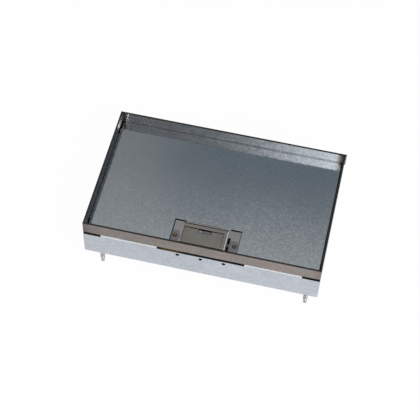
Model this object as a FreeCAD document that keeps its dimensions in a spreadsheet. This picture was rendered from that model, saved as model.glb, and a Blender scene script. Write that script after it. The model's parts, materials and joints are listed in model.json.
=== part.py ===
# Floor socket box with a lid tray for the floor covering and a raised cable outlet.
# Millimetres. X runs along the box, Y from the front to the back, Z up from the
# bottom of the levelling screws, and the origin is the middle of the screw pattern.

import os
import re

import FreeCAD
import Part
import Sketcher

doc = FreeCAD.newDocument("FloorSocketBox")
sheet = doc.addObject("Spreadsheet::Sheet", "Sizes")

# Driving sizes
sizes = {
    "box_width": 400,
    "box_depth": 246,
    "tub_headroom": 4,
    "tub_sheet": 1.5,
    "fold_radius": 1.2,
    "seat_width": 14,
    "seat_height": 4.5,
    "corner_relief": 30,
    "relief_play": 4.5,
    "rim_height": 25,
    "rim_thick": 3,
    "rim_lap": 1.6,
    "tie_hole_radius": 2.6,
    "tie_hole_pitch": 39,
    "tie_hole_drop": 6.8,
    "conduit_radius": 12.75,
    "conduit_spread": 240,
    "conduit_rise": 25,
    "knockout_spread": 110,
    "knockout_groove": 1,
    "floor_hole_radius": 3.25,
    "floor_hole_x": 150,
    "floor_hole_y": 60,
    "screw_reach": 70,
    "screw_above": 30,
    "screw_radius": 4,
    "screw_point_radius": 3.2,
    "screw_point_length": 10,
    "screw_hole_play": 2,
    "screw_inset_x": 20.3,
    "screw_inset_y": 30,
    "screw_socket_radius": 2.3,
    "screw_socket_depth": 4,
    "running_gap": 0.05,
    "nut_radius": 7.5,
    "weld_nut_height": 6.5,
    "lock_nut_height": 4,
    "seal_thick": 0.5,
    "seal_width": 11,
    "tray_sheet": 1.5,
    "tray_gap": 2,
    "stiffener_end_gap": 35,
    "stiffener_height": 4,
    "stiffener_crown": 16,
    "stiffener_foot": 8,
    "stiffener_sheet": 1,
    "stiffener_front_gap": 33,
    "stiffener_back_inset": 60,
    "cutout_margin": 17.6,
    "cutout_seal_left": 2,
    "cutout_seal_right": 1,
    "cutout_seal_drop": 0.3,
    "carrier_sheet": 1.5,
    "carrier_overlap": 12,
    "carrier_slot": 2,
    "carrier_tongue": 6,
    "outlet_half_width": 38.5,
    "outlet_front_gap": 0.6,
    "outlet_depth": 40.8,
    "outlet_height": 28.6,
    "outlet_sheet": 1.5,
    "outlet_bend": 3,
    "outlet_drop": 0.3,
    "outlet_side_slot": 3,
    "outlet_back_play": 0.5,
    "mouth_left": 3.3,
    "mouth_right": 6.7,
    "mouth_back": 8.8,
    "clamp_sheet": 1.5,
    "clamp_width": 14,
    "clamp_edge_play": 2,
    "clamp_left_gap": 3.2,
    "clamp_tail": 10.6,
    "clamp_corner": 3.5,
    "clamp_nose": 4,
    "clamp_nose_gap": 0.2,
    "clamp_tab_depth": 7,
    "clamp_screw_inset": 25.6,
    "clamp_screw_offset": 2,
    "clamp_screw_radius": 2,
    "clamp_head_radius": 3.9,
    "clamp_head_height": 1.4,
    "clamp_head_taper": 0.7,
    "head_play": 0.1,
    "hole_play": 0.2,
    "clamp_nut_radius": 4,
    "clamp_nut_height": 3.2,
    "slot_half_width": 0.4,
    "flap_sheet": 1.5,
    "flap_drop": 0.4,
    "flap_side_gap": 0.6,
    "flap_back_gap": 1.6,
    "flap_front_gap": 0.6,
    "recess_half_width": 11.2,
    "recess_length": 7,
    "recess_depth": 2,
    "recess_corner": 2.6,
    "recess_wall": 1.2,
    "recess_fillet": 1,
    "buffer_thick": 0.8,
    "rest_depth": 3.4,
    "rest_width": 13,
    "hinge_pin_radius": 1.25,
    "hinge_curl_radius": 2,
    "hinge_pin_overhang": 0.4,
    "hinge_set_back": 3.7,
    "hinge_sweep": 3.8,
    "foam_height": 4,
    "foam_gap": 2.2,
    "foam_width": 6,
    "foam_end_gap": 6.4,
    "bracket_gap": 1.5,
    "bracket_sheet": 1.5,
    "bracket_half_length": 147,
    "bracket_margin": 0.5,
    "bracket_foot": 14,
    "bracket_top": 13,
    "module_face": 45,
    "module_body": 42,
    "module_play": 0.2,
    "module_pitch": 46,
    "module_first_x": -119,
    "face_thick": 3,
    "module_deep": 34,
    "module_corner": 2,
    "socket_radius": 19.5,
    "socket_depth": 17.5,
    "pin_hole_radius": 2.75,
    "pin_hole_pitch": 19,
    "pin_hole_depth": 13,
    "contact_wall": 0.5,
    "earth_clip_width": 5,
    "earth_clip_start": 2,
    "earth_clip_thick": 1.2,
    "earth_clip_length": 14,
    "earth_clip_seat": 0.2,
    "data_x": 76,
    "blank_x": 122,
    "jack_width": 15,
    "jack_height": 19,
    "jack_depth": 24,
    "jack_set_back": 1,
    "jack_pitch": 19,
    "jack_mouth_width": 11.8,
    "jack_mouth_height": 8.4,
    "jack_mouth_depth": 14,
    "partition_x": 50,
    "partition_sheet": 1.5,
    "partition_height": 30,
    "partition_foot": 12,
    "partition_front": -40,
    "foot_screw_radius": 2,
    "foot_screw_inset": 10,
    "foot_head_radius": 3.8,
    "foot_head_height": 2.4,
    "terminal_inset": 32,
    "terminal_gap": 6,
    "terminal_width": 18,
    "terminal_end": 0.5,
    "terminal_height": 19,
    "terminal_pitch": 11,
    "terminal_bore": 2.2,
    "terminal_screw_radius": 2.3,
    "terminal_screw_height": 1,
    "earth_stud_radius": 3,
    "earth_stud_height": 20,
    "earth_nut_radius": 5.7,
    "earth_nut_height": 5,
    "earth_washer_radius": 6,
    "earth_washer_height": 1.2,
    "earth_gap": 12,
}
for row, (word, amount) in enumerate(sizes.items(), start=1):
    sheet.set(f"A{row}", word)
    sheet.set(f"B{row}", str(amount))
    sheet.setAlias(f"B{row}", word)
doc.recompute()

# A rule is a formula in words of the sheet
sheet_word = re.compile(r"\b(" + "|".join(sizes) + r")\b")


def rule(text):
    return sheet_word.sub(r"Sizes.\1", str(text))


def size(text):
    return float(sheet.evalExpression(rule(text)))


# Levels and faces that several pieces share
half_x = "(box_width / 2)"
half_y = "(box_depth / 2)"
tub_height = "(module_face + tub_headroom)"
tub_inside = "(screw_reach + tub_sheet)"
tub_top = f"(screw_reach + {tub_height})"
rim_bottom = f"({tub_top} + seat_height)"
rim_top = f"({rim_bottom} + rim_height)"
inner_x = "(box_width / 2 - rim_thick)"
inner_y = "(box_depth / 2 - rim_thick)"
tray_bottom = f"({rim_bottom} + seal_thick)"
tray_top = f"({tray_bottom} + tray_sheet)"
tray_x = f"({inner_x} - tray_gap)"
tray_y = f"({inner_y} - tray_gap)"
screw_x = "(box_width / 2 - screw_inset_x)"
screw_y = "(box_depth / 2 - screw_inset_y)"
outlet_front = f"(outlet_front_gap - {inner_y})"
outlet_back = f"({outlet_front} + outlet_depth)"
outlet_top = f"({rim_top} - outlet_drop)"
outlet_bottom = f"({outlet_top} - outlet_height)"
arm_x = "(outlet_half_width + outlet_side_slot)"
cutout_x = f"({arm_x} + clamp_width + clamp_edge_play)"
cutout_back = f"({outlet_back} + cutout_margin)"
clamp_y = f"({outlet_front} + clamp_screw_inset)"
clamp_x = f"({arm_x} + clamp_width / 2 + clamp_screw_offset)"
bracket_y = f"({screw_y} - nut_radius - bracket_gap - module_deep)"
bracket_height = "(bracket_sheet + bracket_margin + module_face + bracket_margin)"
module_z = f"({tub_inside} + bracket_sheet + bracket_margin + module_face / 2)"
nodes = []


def keep(name, item):
    item.Label = name
    nodes.append(item)
    return item


# Sketches and the features made from them
def pin_point(sketch, kind, item, end, text):
    number = sketch.addConstraint(Sketcher.Constraint(kind, -1, 1, item, end, size(text)))
    sketch.setExpression(f"Constraints[{number}]", rule(text))


def polygon(points):
    def add(sketch):
        first = len(sketch.Geometry)
        count = len(points)
        corners = [FreeCAD.Vector(size(across), size(up), 0) for across, up in points]
        for index in range(count):
            sketch.addGeometry(Part.LineSegment(corners[index], corners[(index + 1) % count]))
        for index in range(count):
            following = first + (index + 1) % count
            sketch.addConstraint(Sketcher.Constraint("Coincident", first + index, 2, following, 1))
        for index, (across, up) in enumerate(points):
            pin_point(sketch, "DistanceX", first + index, 1, across)
            pin_point(sketch, "DistanceY", first + index, 1, up)
    return add


def rectangle(left, bottom, right, top):
    return polygon([(left, bottom), (right, bottom), (right, top), (left, top)])


def disc(across, up, radius):
    def add(sketch):
        item = len(sketch.Geometry)
        centre = FreeCAD.Vector(size(across), size(up), 0)
        sketch.addGeometry(Part.Circle(centre, FreeCAD.Vector(0, 0, 1), size(radius)))
        pin_point(sketch, "DistanceX", item, 3, across)
        pin_point(sketch, "DistanceY", item, 3, up)
        number = sketch.addConstraint(Sketcher.Constraint("Radius", item, size(radius)))
        sketch.setExpression(f"Constraints[{number}]", rule(radius))
    return add


def draw(body, name, role, lift, shapes):
    sketch = body.newObject("Sketcher::SketchObject", name)
    plane = next(item for item in body.Origin.OriginFeatures if item.Role == role)
    sketch.AttachmentSupport = [(plane, "")]
    sketch.MapMode = "FlatFace"
    sketch.setExpression("AttachmentOffset.Base.z", rule(lift))
    for add in shapes:
        add(sketch)
    return sketch


def feature(kind, body, name, sketch, length, back_way=False):
    result = body.newObject("PartDesign::" + kind, name)
    result.Profile = sketch
    result.Reversed = back_way
    result.setExpression("Length", rule(length))
    return result


def pad(body, name, role, lift, shapes, length, back_way=False):
    sketch = draw(body, name + "_sketch", role, lift, shapes)
    return feature("Pad", body, name, sketch, length, back_way)


def pocket(body, name, role, lift, shapes, length, back_way=False):
    sketch = draw(body, name + "_sketch", role, lift, shapes)
    return feature("Pocket", body, name, sketch, length, back_way)


def turned(name, x, y, points):
    body = doc.addObject("PartDesign::Body", name)
    sketch = draw(body, name + "_profile", "XZ_Plane", f"-({y})", [polygon(points)])
    sketch.setExpression("AttachmentOffset.Base.x", rule(x))
    result = body.newObject("PartDesign::Revolution", name + "_turned")
    result.Profile = sketch
    result.ReferenceAxis = (sketch, ["V_Axis"])
    result.Angle = 360
    return body


def round_edges(body, name, radius, chosen):
    doc.recompute()
    base = body.Tip
    names = [f"Edge{number}" for number, edge in enumerate(base.Shape.Edges, start=1) if chosen(edge)]
    result = body.newObject("PartDesign::Fillet", name)
    result.Base = (base, names)
    result.setExpression("Radius", rule(radius))
    doc.recompute()
    return result


def runs_along(edge, axis):
    start, end = edge.Vertexes[0].Point, edge.Vertexes[-1].Point
    return edge.Curve.TypeId == "Part::GeomLine" and abs(abs((end - start).normalize()[axis]) - 1) < 1e-6


def near(value, text):
    return abs(value - size(text)) < 0.01


# Primitive solids whose sizes and places are bound to the sheet
def block(name, low, high):
    solid = doc.addObject("Part::Box", name)
    for axis, side, start, end in zip("xyz", ("Length", "Width", "Height"), low, high):
        solid.setExpression("Placement.Base." + axis, rule(start))
        solid.setExpression(side, rule(f"({end}) - ({start})"))
    return solid


turns = {
    "z": FreeCAD.Rotation(),
    "y": FreeCAD.Rotation(FreeCAD.Vector(1, 0, 0), -90),
    "x": FreeCAD.Rotation(FreeCAD.Vector(0, 1, 0), 90),
}


def place(solid, start, along):
    solid.Placement.Rotation = turns[along]
    for axis, text in zip("xyz", start):
        solid.setExpression("Placement.Base." + axis, rule(text))
    return solid


def rod(name, start, radius, length, along="z"):
    solid = doc.addObject("Part::Cylinder", name)
    solid.setExpression("Radius", rule(radius))
    solid.setExpression("Height", rule(length))
    return place(solid, start, along)


def cone(name, start, low_radius, high_radius, length):
    solid = doc.addObject("Part::Cone", name)
    solid.setExpression("Radius1", rule(low_radius))
    solid.setExpression("Radius2", rule(high_radius))
    solid.setExpression("Height", rule(length))
    return place(solid, start, "z")


def hexagon(name, start, radius, length):
    solid = doc.addObject("Part::Prism", name)
    solid.Polygon = 6
    solid.setExpression("Circumradius", rule(radius))
    solid.setExpression("Height", rule(length))
    return place(solid, start, "z")


def cut(name, base, tool):
    result = doc.addObject("Part::Cut", name)
    result.Base = base
    result.Tool = tool
    return result


def join(name, shapes):
    result = doc.addObject("Part::MultiFuse", name)
    result.Shapes = shapes
    return result


def group(name, shapes):
    result = doc.addObject("Part::Compound", name)
    result.Links = shapes
    return result


# Folded tub: a floor with two end walls, closed by a plate welded on at the front and the back
conduit_z = "(screw_reach + conduit_rise)"


def seat_spans():
    inner = f"({cutout_x} + carrier_overlap + relief_play)"
    outer = f"({half_x} - corner_relief)"
    return [(f"-{outer}", f"-{inner}"), (inner, outer)]


def side_span():
    return f"({half_y} - corner_relief)"


def at_level(level):
    return lambda edge: runs_along(edge, 1) and near(edge.BoundBox.ZMax, level)


def base_tub():
    body = doc.addObject("PartDesign::Body", "base_tub")
    wall_x = f"({half_x} - tub_sheet)"
    reach_y = f"({half_y} - tub_sheet)"
    profile = [
        (f"-{half_x}", "screw_reach"),
        (half_x, "screw_reach"),
        (half_x, tub_top),
        (wall_x, tub_top),
        (wall_x, tub_inside),
        (f"-{wall_x}", tub_inside),
        (f"-{wall_x}", tub_top),
        (f"-{half_x}", tub_top),
    ]
    pad(body, "tub_strip", "XZ_Plane", reach_y, [polygon(profile)], f"2 * {reach_y}", True)
    round_edges(body, "tub_outer_folds", "fold_radius + tub_sheet", at_level("screw_reach"))
    round_edges(body, "tub_inner_folds", "fold_radius", at_level(tub_inside))
    for side, back_way in ((-1, True), (1, False)):
        rings = []
        for end in (-1, 1):
            rings.append(disc(f"{end} * knockout_spread / 2", conduit_z, "conduit_radius"))
            rings.append(disc(f"{end} * knockout_spread / 2", conduit_z, "conduit_radius - knockout_groove"))
        name = "knockout_rings_" + ("right" if side > 0 else "left")
        pocket(body, name, "YZ_Plane", f"{side} * {half_x}", rings, "tub_sheet / 2", back_way)
    floor_holes = []
    for side in (-1, 1):
        for end in (-1, 1):
            floor_holes.append(disc(f"{side} * {screw_x}", f"{end} * {screw_y}",
                                    "screw_radius + screw_hole_play"))
            floor_holes.append(disc(f"{side} * floor_hole_x / 2", f"{end} * floor_hole_y / 2",
                                    "floor_hole_radius"))
    pocket(body, "floor_holes", "XY_Plane", "screw_reach", floor_holes, "2 * tub_sheet", True)
    keep("base_tub", body)


def tub_wall(name, side, holes):
    body = doc.addObject("PartDesign::Body", name)
    lift = f"-({side} * {half_y})"
    plate = rectangle(f"-{half_x}", "screw_reach", half_x, tub_top)
    pad(body, name + "_plate", "XZ_Plane", lift, [plate], "tub_sheet", side < 0)
    round_edges(body, name + "_corners", "fold_radius + tub_sheet", at_level("screw_reach"))
    pocket(body, name + "_holes", "XZ_Plane", lift, holes, "2 * tub_sheet", side > 0)
    keep(name, body)


def tub_walls():
    tie_z = f"({tub_top} - tie_hole_drop)"
    ties = [disc(f"{step} * tie_hole_pitch", tie_z, "tie_hole_radius") for step in (-1, 0, 1)]
    tub_wall("tub_wall_front", -1, ties)
    entries = [disc(f"{side} * conduit_spread / 2", conduit_z, "conduit_radius") for side in (-1, 1)]
    tub_wall("tub_wall_back", 1, entries)


# Welded rim of flat bar: the side bars run to the front face and the back bar laps past one corner
def rim_bar(name, left, front, right, back):
    body = doc.addObject("PartDesign::Body", name)
    pad(body, name + "_bar", "XY_Plane", rim_bottom, [rectangle(left, front, right, back)], "rim_height")
    keep(name, body)


def rim():
    rim_bar("rim_bar_front", f"-{inner_x}", f"-{half_y}", inner_x, f"-{inner_y}")
    rim_bar("rim_bar_back", f"-{half_x}", inner_y, f"{half_x} + rim_lap", half_y)
    rim_bar("rim_bar_left", f"-{half_x}", f"-{half_y}", f"-{inner_x}", inner_y)
    rim_bar("rim_bar_right", inner_x, f"-{half_y}", half_x, inner_y)


# Seat bars welded into the tub's top, each stepped over the wall, with a seal strip for the lid tray
def seat_bar(name, x_ends, y_ends, inner_x_ends, inner_y_ends):
    upper = block(name + "_top", (x_ends[0], y_ends[0], tub_top), (x_ends[1], y_ends[1], rim_bottom))
    lower = block(name + "_step", (inner_x_ends[0], inner_y_ends[0], f"{tub_top} - tub_sheet"),
                  (inner_x_ends[1], inner_y_ends[1], tub_top))
    return join(name, [upper, lower])


def seats():
    strips = []
    for axis, reach in (("y", half_y), ("x", half_x)):
        low, wall = f"({reach} - seat_width)", f"({reach} - tub_sheet)"
        seal_end = f"({low} + seal_width)"
        words = ("front", "back") if axis == "y" else ("left", "right")
        for side, word in zip((-1, 1), words):
            across = [(low, reach), (low, wall), (low, seal_end)]
            if side < 0:
                across = [(f"-{far}", f"-{close}") for close, far in across]
            spans = seat_spans() if axis == "y" else [(f"-{side_span()}", side_span())]
            bars = []
            for number, span in enumerate(spans):
                name = f"seat_{word}_{number}"
                if axis == "y":
                    bars.append(seat_bar(name, span, across[0], span, across[1]))
                    strips.append(block(name + "_seal", (span[0], across[2][0], rim_bottom),
                                        (span[1], across[2][1], tray_bottom)))
                else:
                    bars.append(seat_bar(name, across[0], span, across[1], span))
                    strips.append(block(name + "_seal", (across[2][0], span[0], rim_bottom),
                                        (across[2][1], span[1], tray_bottom)))
            if axis == "y":
                keep("seat_bars_" + word, group("seat_bars_" + word, bars))
            else:
                keep("seat_bar_" + word, bars[0])
    keep("lid_seal", group("lid_seal", strips))


# Levelling screws in welded nuts, with a lock nut on each
def levelling():
    weld_nuts = []
    lock_nuts = []
    lock_start = f"({tub_inside} + weld_nut_height)"
    length = "(screw_reach + screw_above)"
    profile = [
        ("0", "0"),
        ("screw_point_radius", "0"),
        ("screw_point_radius", "screw_point_length"),
        ("screw_radius", "screw_point_length + screw_radius - screw_point_radius"),
        ("screw_radius", length),
        ("screw_socket_radius", length),
        ("screw_socket_radius", f"{length} - screw_socket_depth"),
        ("0", f"{length} - screw_socket_depth"),
    ]
    for name, side, end in (("fl", -1, -1), ("fr", 1, -1), ("bl", -1, 1), ("br", 1, 1)):
        x, y = f"{side} * {screw_x}", f"{end} * {screw_y}"
        keep("levelling_screw_" + name, turned("levelling_screw_" + name, x, y, profile))
        bore = rod(f"nut_bore_{name}", (x, y, tub_inside), "screw_radius + running_gap",
                   "weld_nut_height + lock_nut_height")
        weld_blank = hexagon(f"weld_nut_blank_{name}", (x, y, tub_inside), "nut_radius", "weld_nut_height")
        lock_blank = hexagon(f"lock_nut_blank_{name}", (x, y, lock_start), "nut_radius", "lock_nut_height")
        weld_nuts.append(cut(f"weld_nut_{name}", weld_blank, bore))
        lock_nuts.append(cut(f"lock_nut_{name}", lock_blank, bore))
    keep("levelling_weld_nuts", group("levelling_weld_nuts", weld_nuts))
    keep("levelling_lock_nuts", group("levelling_lock_nuts", lock_nuts))


# Lid tray: a plate that drops inside the rim, open at the front for the cable outlet
def lid_tray():
    body = doc.addObject("PartDesign::Body", "lid_tray")
    outline = [
        (f"-{tray_x}", f"-{tray_y}"),
        (f"-{cutout_x}", f"-{tray_y}"),
        (f"-{cutout_x}", cutout_back),
        (cutout_x, cutout_back),
        (cutout_x, f"-{tray_y}"),
        (tray_x, f"-{tray_y}"),
        (tray_x, tray_y),
        (f"-{tray_x}", tray_y),
    ]
    pad(body, "tray_plate", "XY_Plane", tray_bottom, [polygon(outline)], "tray_sheet")
    keep("lid_tray", body)


# Hat-section stiffeners welded under the tray
def lid_stiffeners():
    half_length = f"({half_x} - stiffener_end_gap)"
    for name, centre in (("lid_stiffener_front", f"{cutout_back} + stiffener_front_gap"),
                         ("lid_stiffener_back", f"{half_y} - stiffener_back_inset")):
        crown = "stiffener_crown / 2"
        foot = "(stiffener_crown / 2 + stiffener_foot)"
        low = f"({tray_bottom} - stiffener_height)"
        half = [
            (foot, tray_bottom),
            (foot, f"{tray_bottom} - stiffener_sheet"),
            (crown, f"{tray_bottom} - stiffener_sheet"),
            (crown, low),
        ]
        inner_half = [
            (f"{crown} - stiffener_sheet", f"{low} + stiffener_sheet"),
            (f"{crown} - stiffener_sheet", tray_bottom),
        ]
        points = [(f"{centre} + {y}", z) for y, z in half]
        points += [(f"{centre} - {y}", z) for y, z in reversed(half)]
        points += [(f"{centre} - ({y})", z) for y, z in reversed(inner_half)]
        points += [(f"{centre} + {y}", z) for y, z in inner_half]
        body = doc.addObject("PartDesign::Body", name)
        pad(body, name + "_hat", "YZ_Plane", f"-{half_length}", [polygon(points)],
            f"2 * {half_length}")
        keep(name, body)


# U-shaped ledge under the tray's cut-out, welded by its tongue and carrying the cable outlet
def outlet_carrier():
    body = doc.addObject("PartDesign::Body", "outlet_carrier")
    outer = f"({cutout_x} + carrier_overlap)"
    back = f"({cutout_back} - carrier_slot)"
    tongue_back = f"({cutout_back} + carrier_tongue)"
    inner_back = f"({outlet_back} + outlet_back_play)"
    outline = [
        (f"-{outer}", f"-{tray_y}"),
        (f"-{arm_x}", f"-{tray_y}"),
        (f"-{arm_x}", inner_back),
        (arm_x, inner_back),
        (arm_x, f"-{tray_y}"),
        (outer, f"-{tray_y}"),
        (outer, back),
        ("outlet_half_width", back),
        ("outlet_half_width", tongue_back),
        ("-outlet_half_width", tongue_back),
        ("-outlet_half_width", back),
        (f"-{outer}", back),
    ]
    pad(body, "carrier_plate", "XY_Plane", f"{tray_bottom} - carrier_sheet", [polygon(outline)],
        "carrier_sheet")
    holes = [disc(f"{side} * {clamp_x}", clamp_y, "clamp_screw_radius + hole_play") for side in (-1, 1)]
    pocket(body, "carrier_holes", "XY_Plane", tray_bottom, holes, "2 * carrier_sheet")
    keep("outlet_carrier", body)


# Rubber strips that close the gap between the clamp plates and the tray's cut-out
def cutout_seals():
    back = f"({cutout_back} - carrier_slot)"
    top = f"({tray_top} - cutout_seal_drop)"
    left = block("cutout_seal_left_strip", (f"-{cutout_x}", f"-{tray_y}", tray_bottom),
                 (f"cutout_seal_left - {cutout_x}", back, top))
    right = block("cutout_seal_right_strip", (f"{cutout_x} - cutout_seal_right", f"-{tray_y}", tray_bottom),
                  (cutout_x, back, top))
    keep("cutout_seal", group("cutout_seal", [left, right]))


# Clamp plates whose noses hold the outlet at its height, under brass countersunk screws
def outlet_clamps():
    screws = []
    nuts = []
    back = f"({clamp_y} + clamp_tail)"
    for name, side in (("left", -1), ("right", 1)):
        body = doc.addObject("PartDesign::Body", "outlet_clamp_" + name)
        inner = f"({arm_x} + clamp_left_gap)" if side < 0 else arm_x
        outer = f"({arm_x} + clamp_width)"
        nose = "(outlet_half_width + clamp_nose_gap)"
        low_y, high_y = f"({clamp_y} - clamp_nose / 2)", f"({clamp_y} + clamp_nose / 2)"
        outline = [
            (f"{side} * {inner}", f"-{tray_y}"),
            (f"{side} * {outer}", f"-{tray_y}"),
            (f"{side} * {outer}", back),
            (f"{side} * {inner}", back),
            (f"{side} * {inner}", high_y),
            (f"{side} * {nose}", high_y),
            (f"{side} * {nose}", low_y),
            (f"{side} * {inner}", low_y),
        ]
        pad(body, f"clamp_plate_{name}", "XY_Plane", tray_bottom, [polygon(outline)], "clamp_sheet")
        back_corners = lambda edge: runs_along(edge, 2) and near(edge.BoundBox.YMax, back)
        round_edges(body, f"clamp_corners_{name}", "clamp_corner", back_corners)
        tab = rectangle(f"{side} * {nose}", low_y, f"{side} * ({nose} + clamp_sheet)", high_y)
        pad(body, f"clamp_tab_{name}", "XY_Plane", tray_bottom, [tab], "clamp_tab_depth", True)
        x = f"{side} * {clamp_x}"
        pocket(body, f"clamp_hole_{name}", "XY_Plane", f"{tray_bottom} + clamp_sheet",
               [disc(x, clamp_y, "clamp_head_radius + head_play")], "2 * clamp_sheet")
        keep("outlet_clamp_" + name, body)
        head_low = f"({tray_bottom} + clamp_sheet - clamp_head_height)"
        shank_low = f"({tray_bottom} - carrier_sheet - clamp_nut_height)"
        head = cone(f"clamp_head_{name}", (x, clamp_y, head_low),
                    "clamp_head_radius - clamp_head_taper", "clamp_head_radius", "clamp_head_height")
        shank = rod(f"clamp_shank_{name}", (x, clamp_y, shank_low), "clamp_screw_radius",
                    f"{head_low} - {shank_low}")
        slot_low = f"{head_low} + clamp_head_height / 2"
        slot_high = f"{tray_top} + clamp_head_height"
        slot = block(f"clamp_slot_{name}",
                     (f"{x} - clamp_head_radius", f"{clamp_y} - slot_half_width", slot_low),
                     (f"{x} + clamp_head_radius", f"{clamp_y} + slot_half_width", slot_high))
        screws.append(cut(f"outlet_screw_{name}", join(f"clamp_screw_{name}", [head, shank]), slot))
        nut_blank = hexagon(f"clamp_nut_blank_{name}", (x, clamp_y, shank_low),
                            "clamp_nut_radius", "clamp_nut_height")
        nut_bore = rod(f"clamp_nut_bore_{name}", (x, clamp_y, shank_low),
                       "clamp_screw_radius", "clamp_nut_height")
        nuts.append(cut(f"clamp_nut_{name}", nut_blank, nut_bore))
    keep("outlet_screws", group("outlet_screws", screws))
    keep("clamp_nuts", group("clamp_nuts", nuts))


# Cable outlet: a folded box whose top lies level with the rim, with a mouth under the flap
mouth_x = ("(mouth_left - outlet_half_width)", "(outlet_half_width - mouth_right)")
mouth_front = f"({outlet_front} + outlet_sheet)"
mouth_end = f"({outlet_back} - mouth_back)"
flap_top = f"({outlet_top} - flap_drop)"
flap_bottom = f"({flap_top} - flap_sheet)"
flap_front = f"({outlet_front} + flap_front_gap)"
flap_back = f"({mouth_end} - flap_back_gap)"
recess_end = f"({flap_back} - recess_length)"
rest_top = f"({flap_bottom} - buffer_thick)"
hinge_y = f"({outlet_front} + hinge_set_back)"
hinge_z = f"({flap_top} - hinge_curl_radius)"


def rest_spans():
    return [(mouth_x[0], f"({mouth_x[0]} + rest_width)"), (f"({mouth_x[1]} - rest_width)", mouth_x[1])]


def outlet_box():
    body = doc.addObject("PartDesign::Body", "outlet_box")
    outer = rectangle("-outlet_half_width", outlet_front, "outlet_half_width", outlet_back)
    pad(body, "outlet_blank", "XY_Plane", outlet_bottom, [outer], "outlet_height")
    top_folds = lambda edge: (near(edge.BoundBox.ZMin, outlet_top)
                              and not near(edge.BoundBox.YMax, outlet_front))
    back_folds = lambda edge: runs_along(edge, 2) and near(edge.BoundBox.YMax, outlet_back)
    folds = lambda edge: top_folds(edge) or back_folds(edge)
    round_edges(body, "outlet_folds", "outlet_bend", folds)
    inside = "(outlet_half_width - outlet_sheet)"
    hollow = rectangle(f"-{inside}", mouth_front, inside, f"{outlet_back} - outlet_sheet")
    pocket(body, "outlet_hollow", "XY_Plane", outlet_bottom, [hollow], "outlet_height - outlet_sheet", True)
    mouth = rectangle(mouth_x[0], mouth_front, mouth_x[1], mouth_end)
    pocket(body, "outlet_mouth", "XY_Plane", outlet_top, [mouth], "outlet_height / 2")
    front_step = rectangle(mouth_x[0], outlet_front, mouth_x[1], mouth_front)
    pocket(body, "hinge_step", "XY_Plane", outlet_top, [front_step],
           "flap_drop + hinge_curl_radius + hinge_sweep")
    behind = f"({outlet_back} - outlet_sheet)"
    rests = [rectangle(left, f"{mouth_end} - rest_depth", right, behind) for left, right in rest_spans()]
    webs = [rectangle(left, mouth_end, right, behind) for left, right in rest_spans()]
    pad(body, "flap_rests", "XY_Plane", rest_top, rests, "outlet_sheet", True)
    pad(body, "flap_rest_webs", "XY_Plane", rest_top, webs, f"{outlet_top} - outlet_sheet - {rest_top}")
    pocket(body, "hinge_bores", "YZ_Plane", "outlet_half_width",
           [disc(hinge_y, hinge_z, "hinge_pin_radius + running_gap")], "2 * outlet_half_width")
    keep("outlet_box", body)
    pin = rod("hinge_pin", ("hinge_pin_overhang - outlet_half_width", hinge_y, hinge_z),
              "hinge_pin_radius", "2 * (outlet_half_width - hinge_pin_overhang)", "x")
    keep("hinge_pin", pin)
    buffers = [block(f"flap_buffer_{number}", (left, f"{mouth_end} - rest_depth", rest_top),
                     (right, mouth_end, flap_bottom))
               for number, (left, right) in enumerate(rest_spans())]
    keep("flap_buffers", group("flap_buffers", buffers))


# Flap: plate with a pressed thumb recess and a tube for the hinge pin just behind its front edge
def outlet_flap():
    body = doc.addObject("PartDesign::Body", "outlet_flap")
    left, right = f"({mouth_x[0]} + flap_side_gap)", f"({mouth_x[1]} - flap_side_gap)"
    plate = rectangle(left, flap_front, right, flap_back)
    pad(body, "flap_plate", "XY_Plane", flap_bottom, [plate], "flap_sheet")
    pan_x, pan_end = "(recess_half_width + recess_wall)", f"({recess_end} - recess_wall)"
    pan = rectangle(f"-{pan_x}", pan_end, pan_x, flap_back)
    pad(body, "recess_pan", "XY_Plane", flap_bottom, [pan], "recess_depth", True)
    pan_corner = lambda edge: runs_along(edge, 2) and near(edge.BoundBox.YMax, pan_end)
    round_edges(body, "pan_corners", "recess_corner + recess_wall", pan_corner)
    hollow = rectangle("-recess_half_width", recess_end, "recess_half_width", flap_back)
    pocket(body, "thumb_recess", "XY_Plane", flap_top, [hollow], "recess_depth")
    recess_corner = lambda edge: runs_along(edge, 2) and near(edge.BoundBox.YMax, recess_end)
    round_edges(body, "recess_corners", "recess_corner", recess_corner)
    recess_floor = f"({flap_top} - recess_depth)"
    foot = lambda edge: near(edge.BoundBox.ZMax, recess_floor) and not near(edge.BoundBox.YMin, flap_back)
    round_edges(body, "recess_foot", "recess_fillet", foot)
    pad(body, "hinge_curl", "YZ_Plane", left, [disc(hinge_y, hinge_z, "hinge_curl_radius")],
        f"{right} - {left}")
    pocket(body, "curl_bore", "YZ_Plane", right, [disc(hinge_y, hinge_z, "hinge_pin_radius + running_gap")],
           f"{right} - {left}")
    keep("outlet_flap", body)
    foam_back = f"({recess_end} - foam_gap)"
    foam = block("flap_foam",
                 (f"{left} + foam_end_gap", f"{foam_back} - foam_width", f"{flap_bottom} - foam_height"),
                 (f"{right} - foam_end_gap", foam_back, flap_bottom))
    keep("flap_foam", foam)


# Bracket that stands across the tub with an aperture for each module
def module_places():
    sockets = [f"(module_first_x + {step} * module_pitch)" for step in range(4)]
    return sockets, sockets + ["data_x", "blank_x"]


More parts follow.
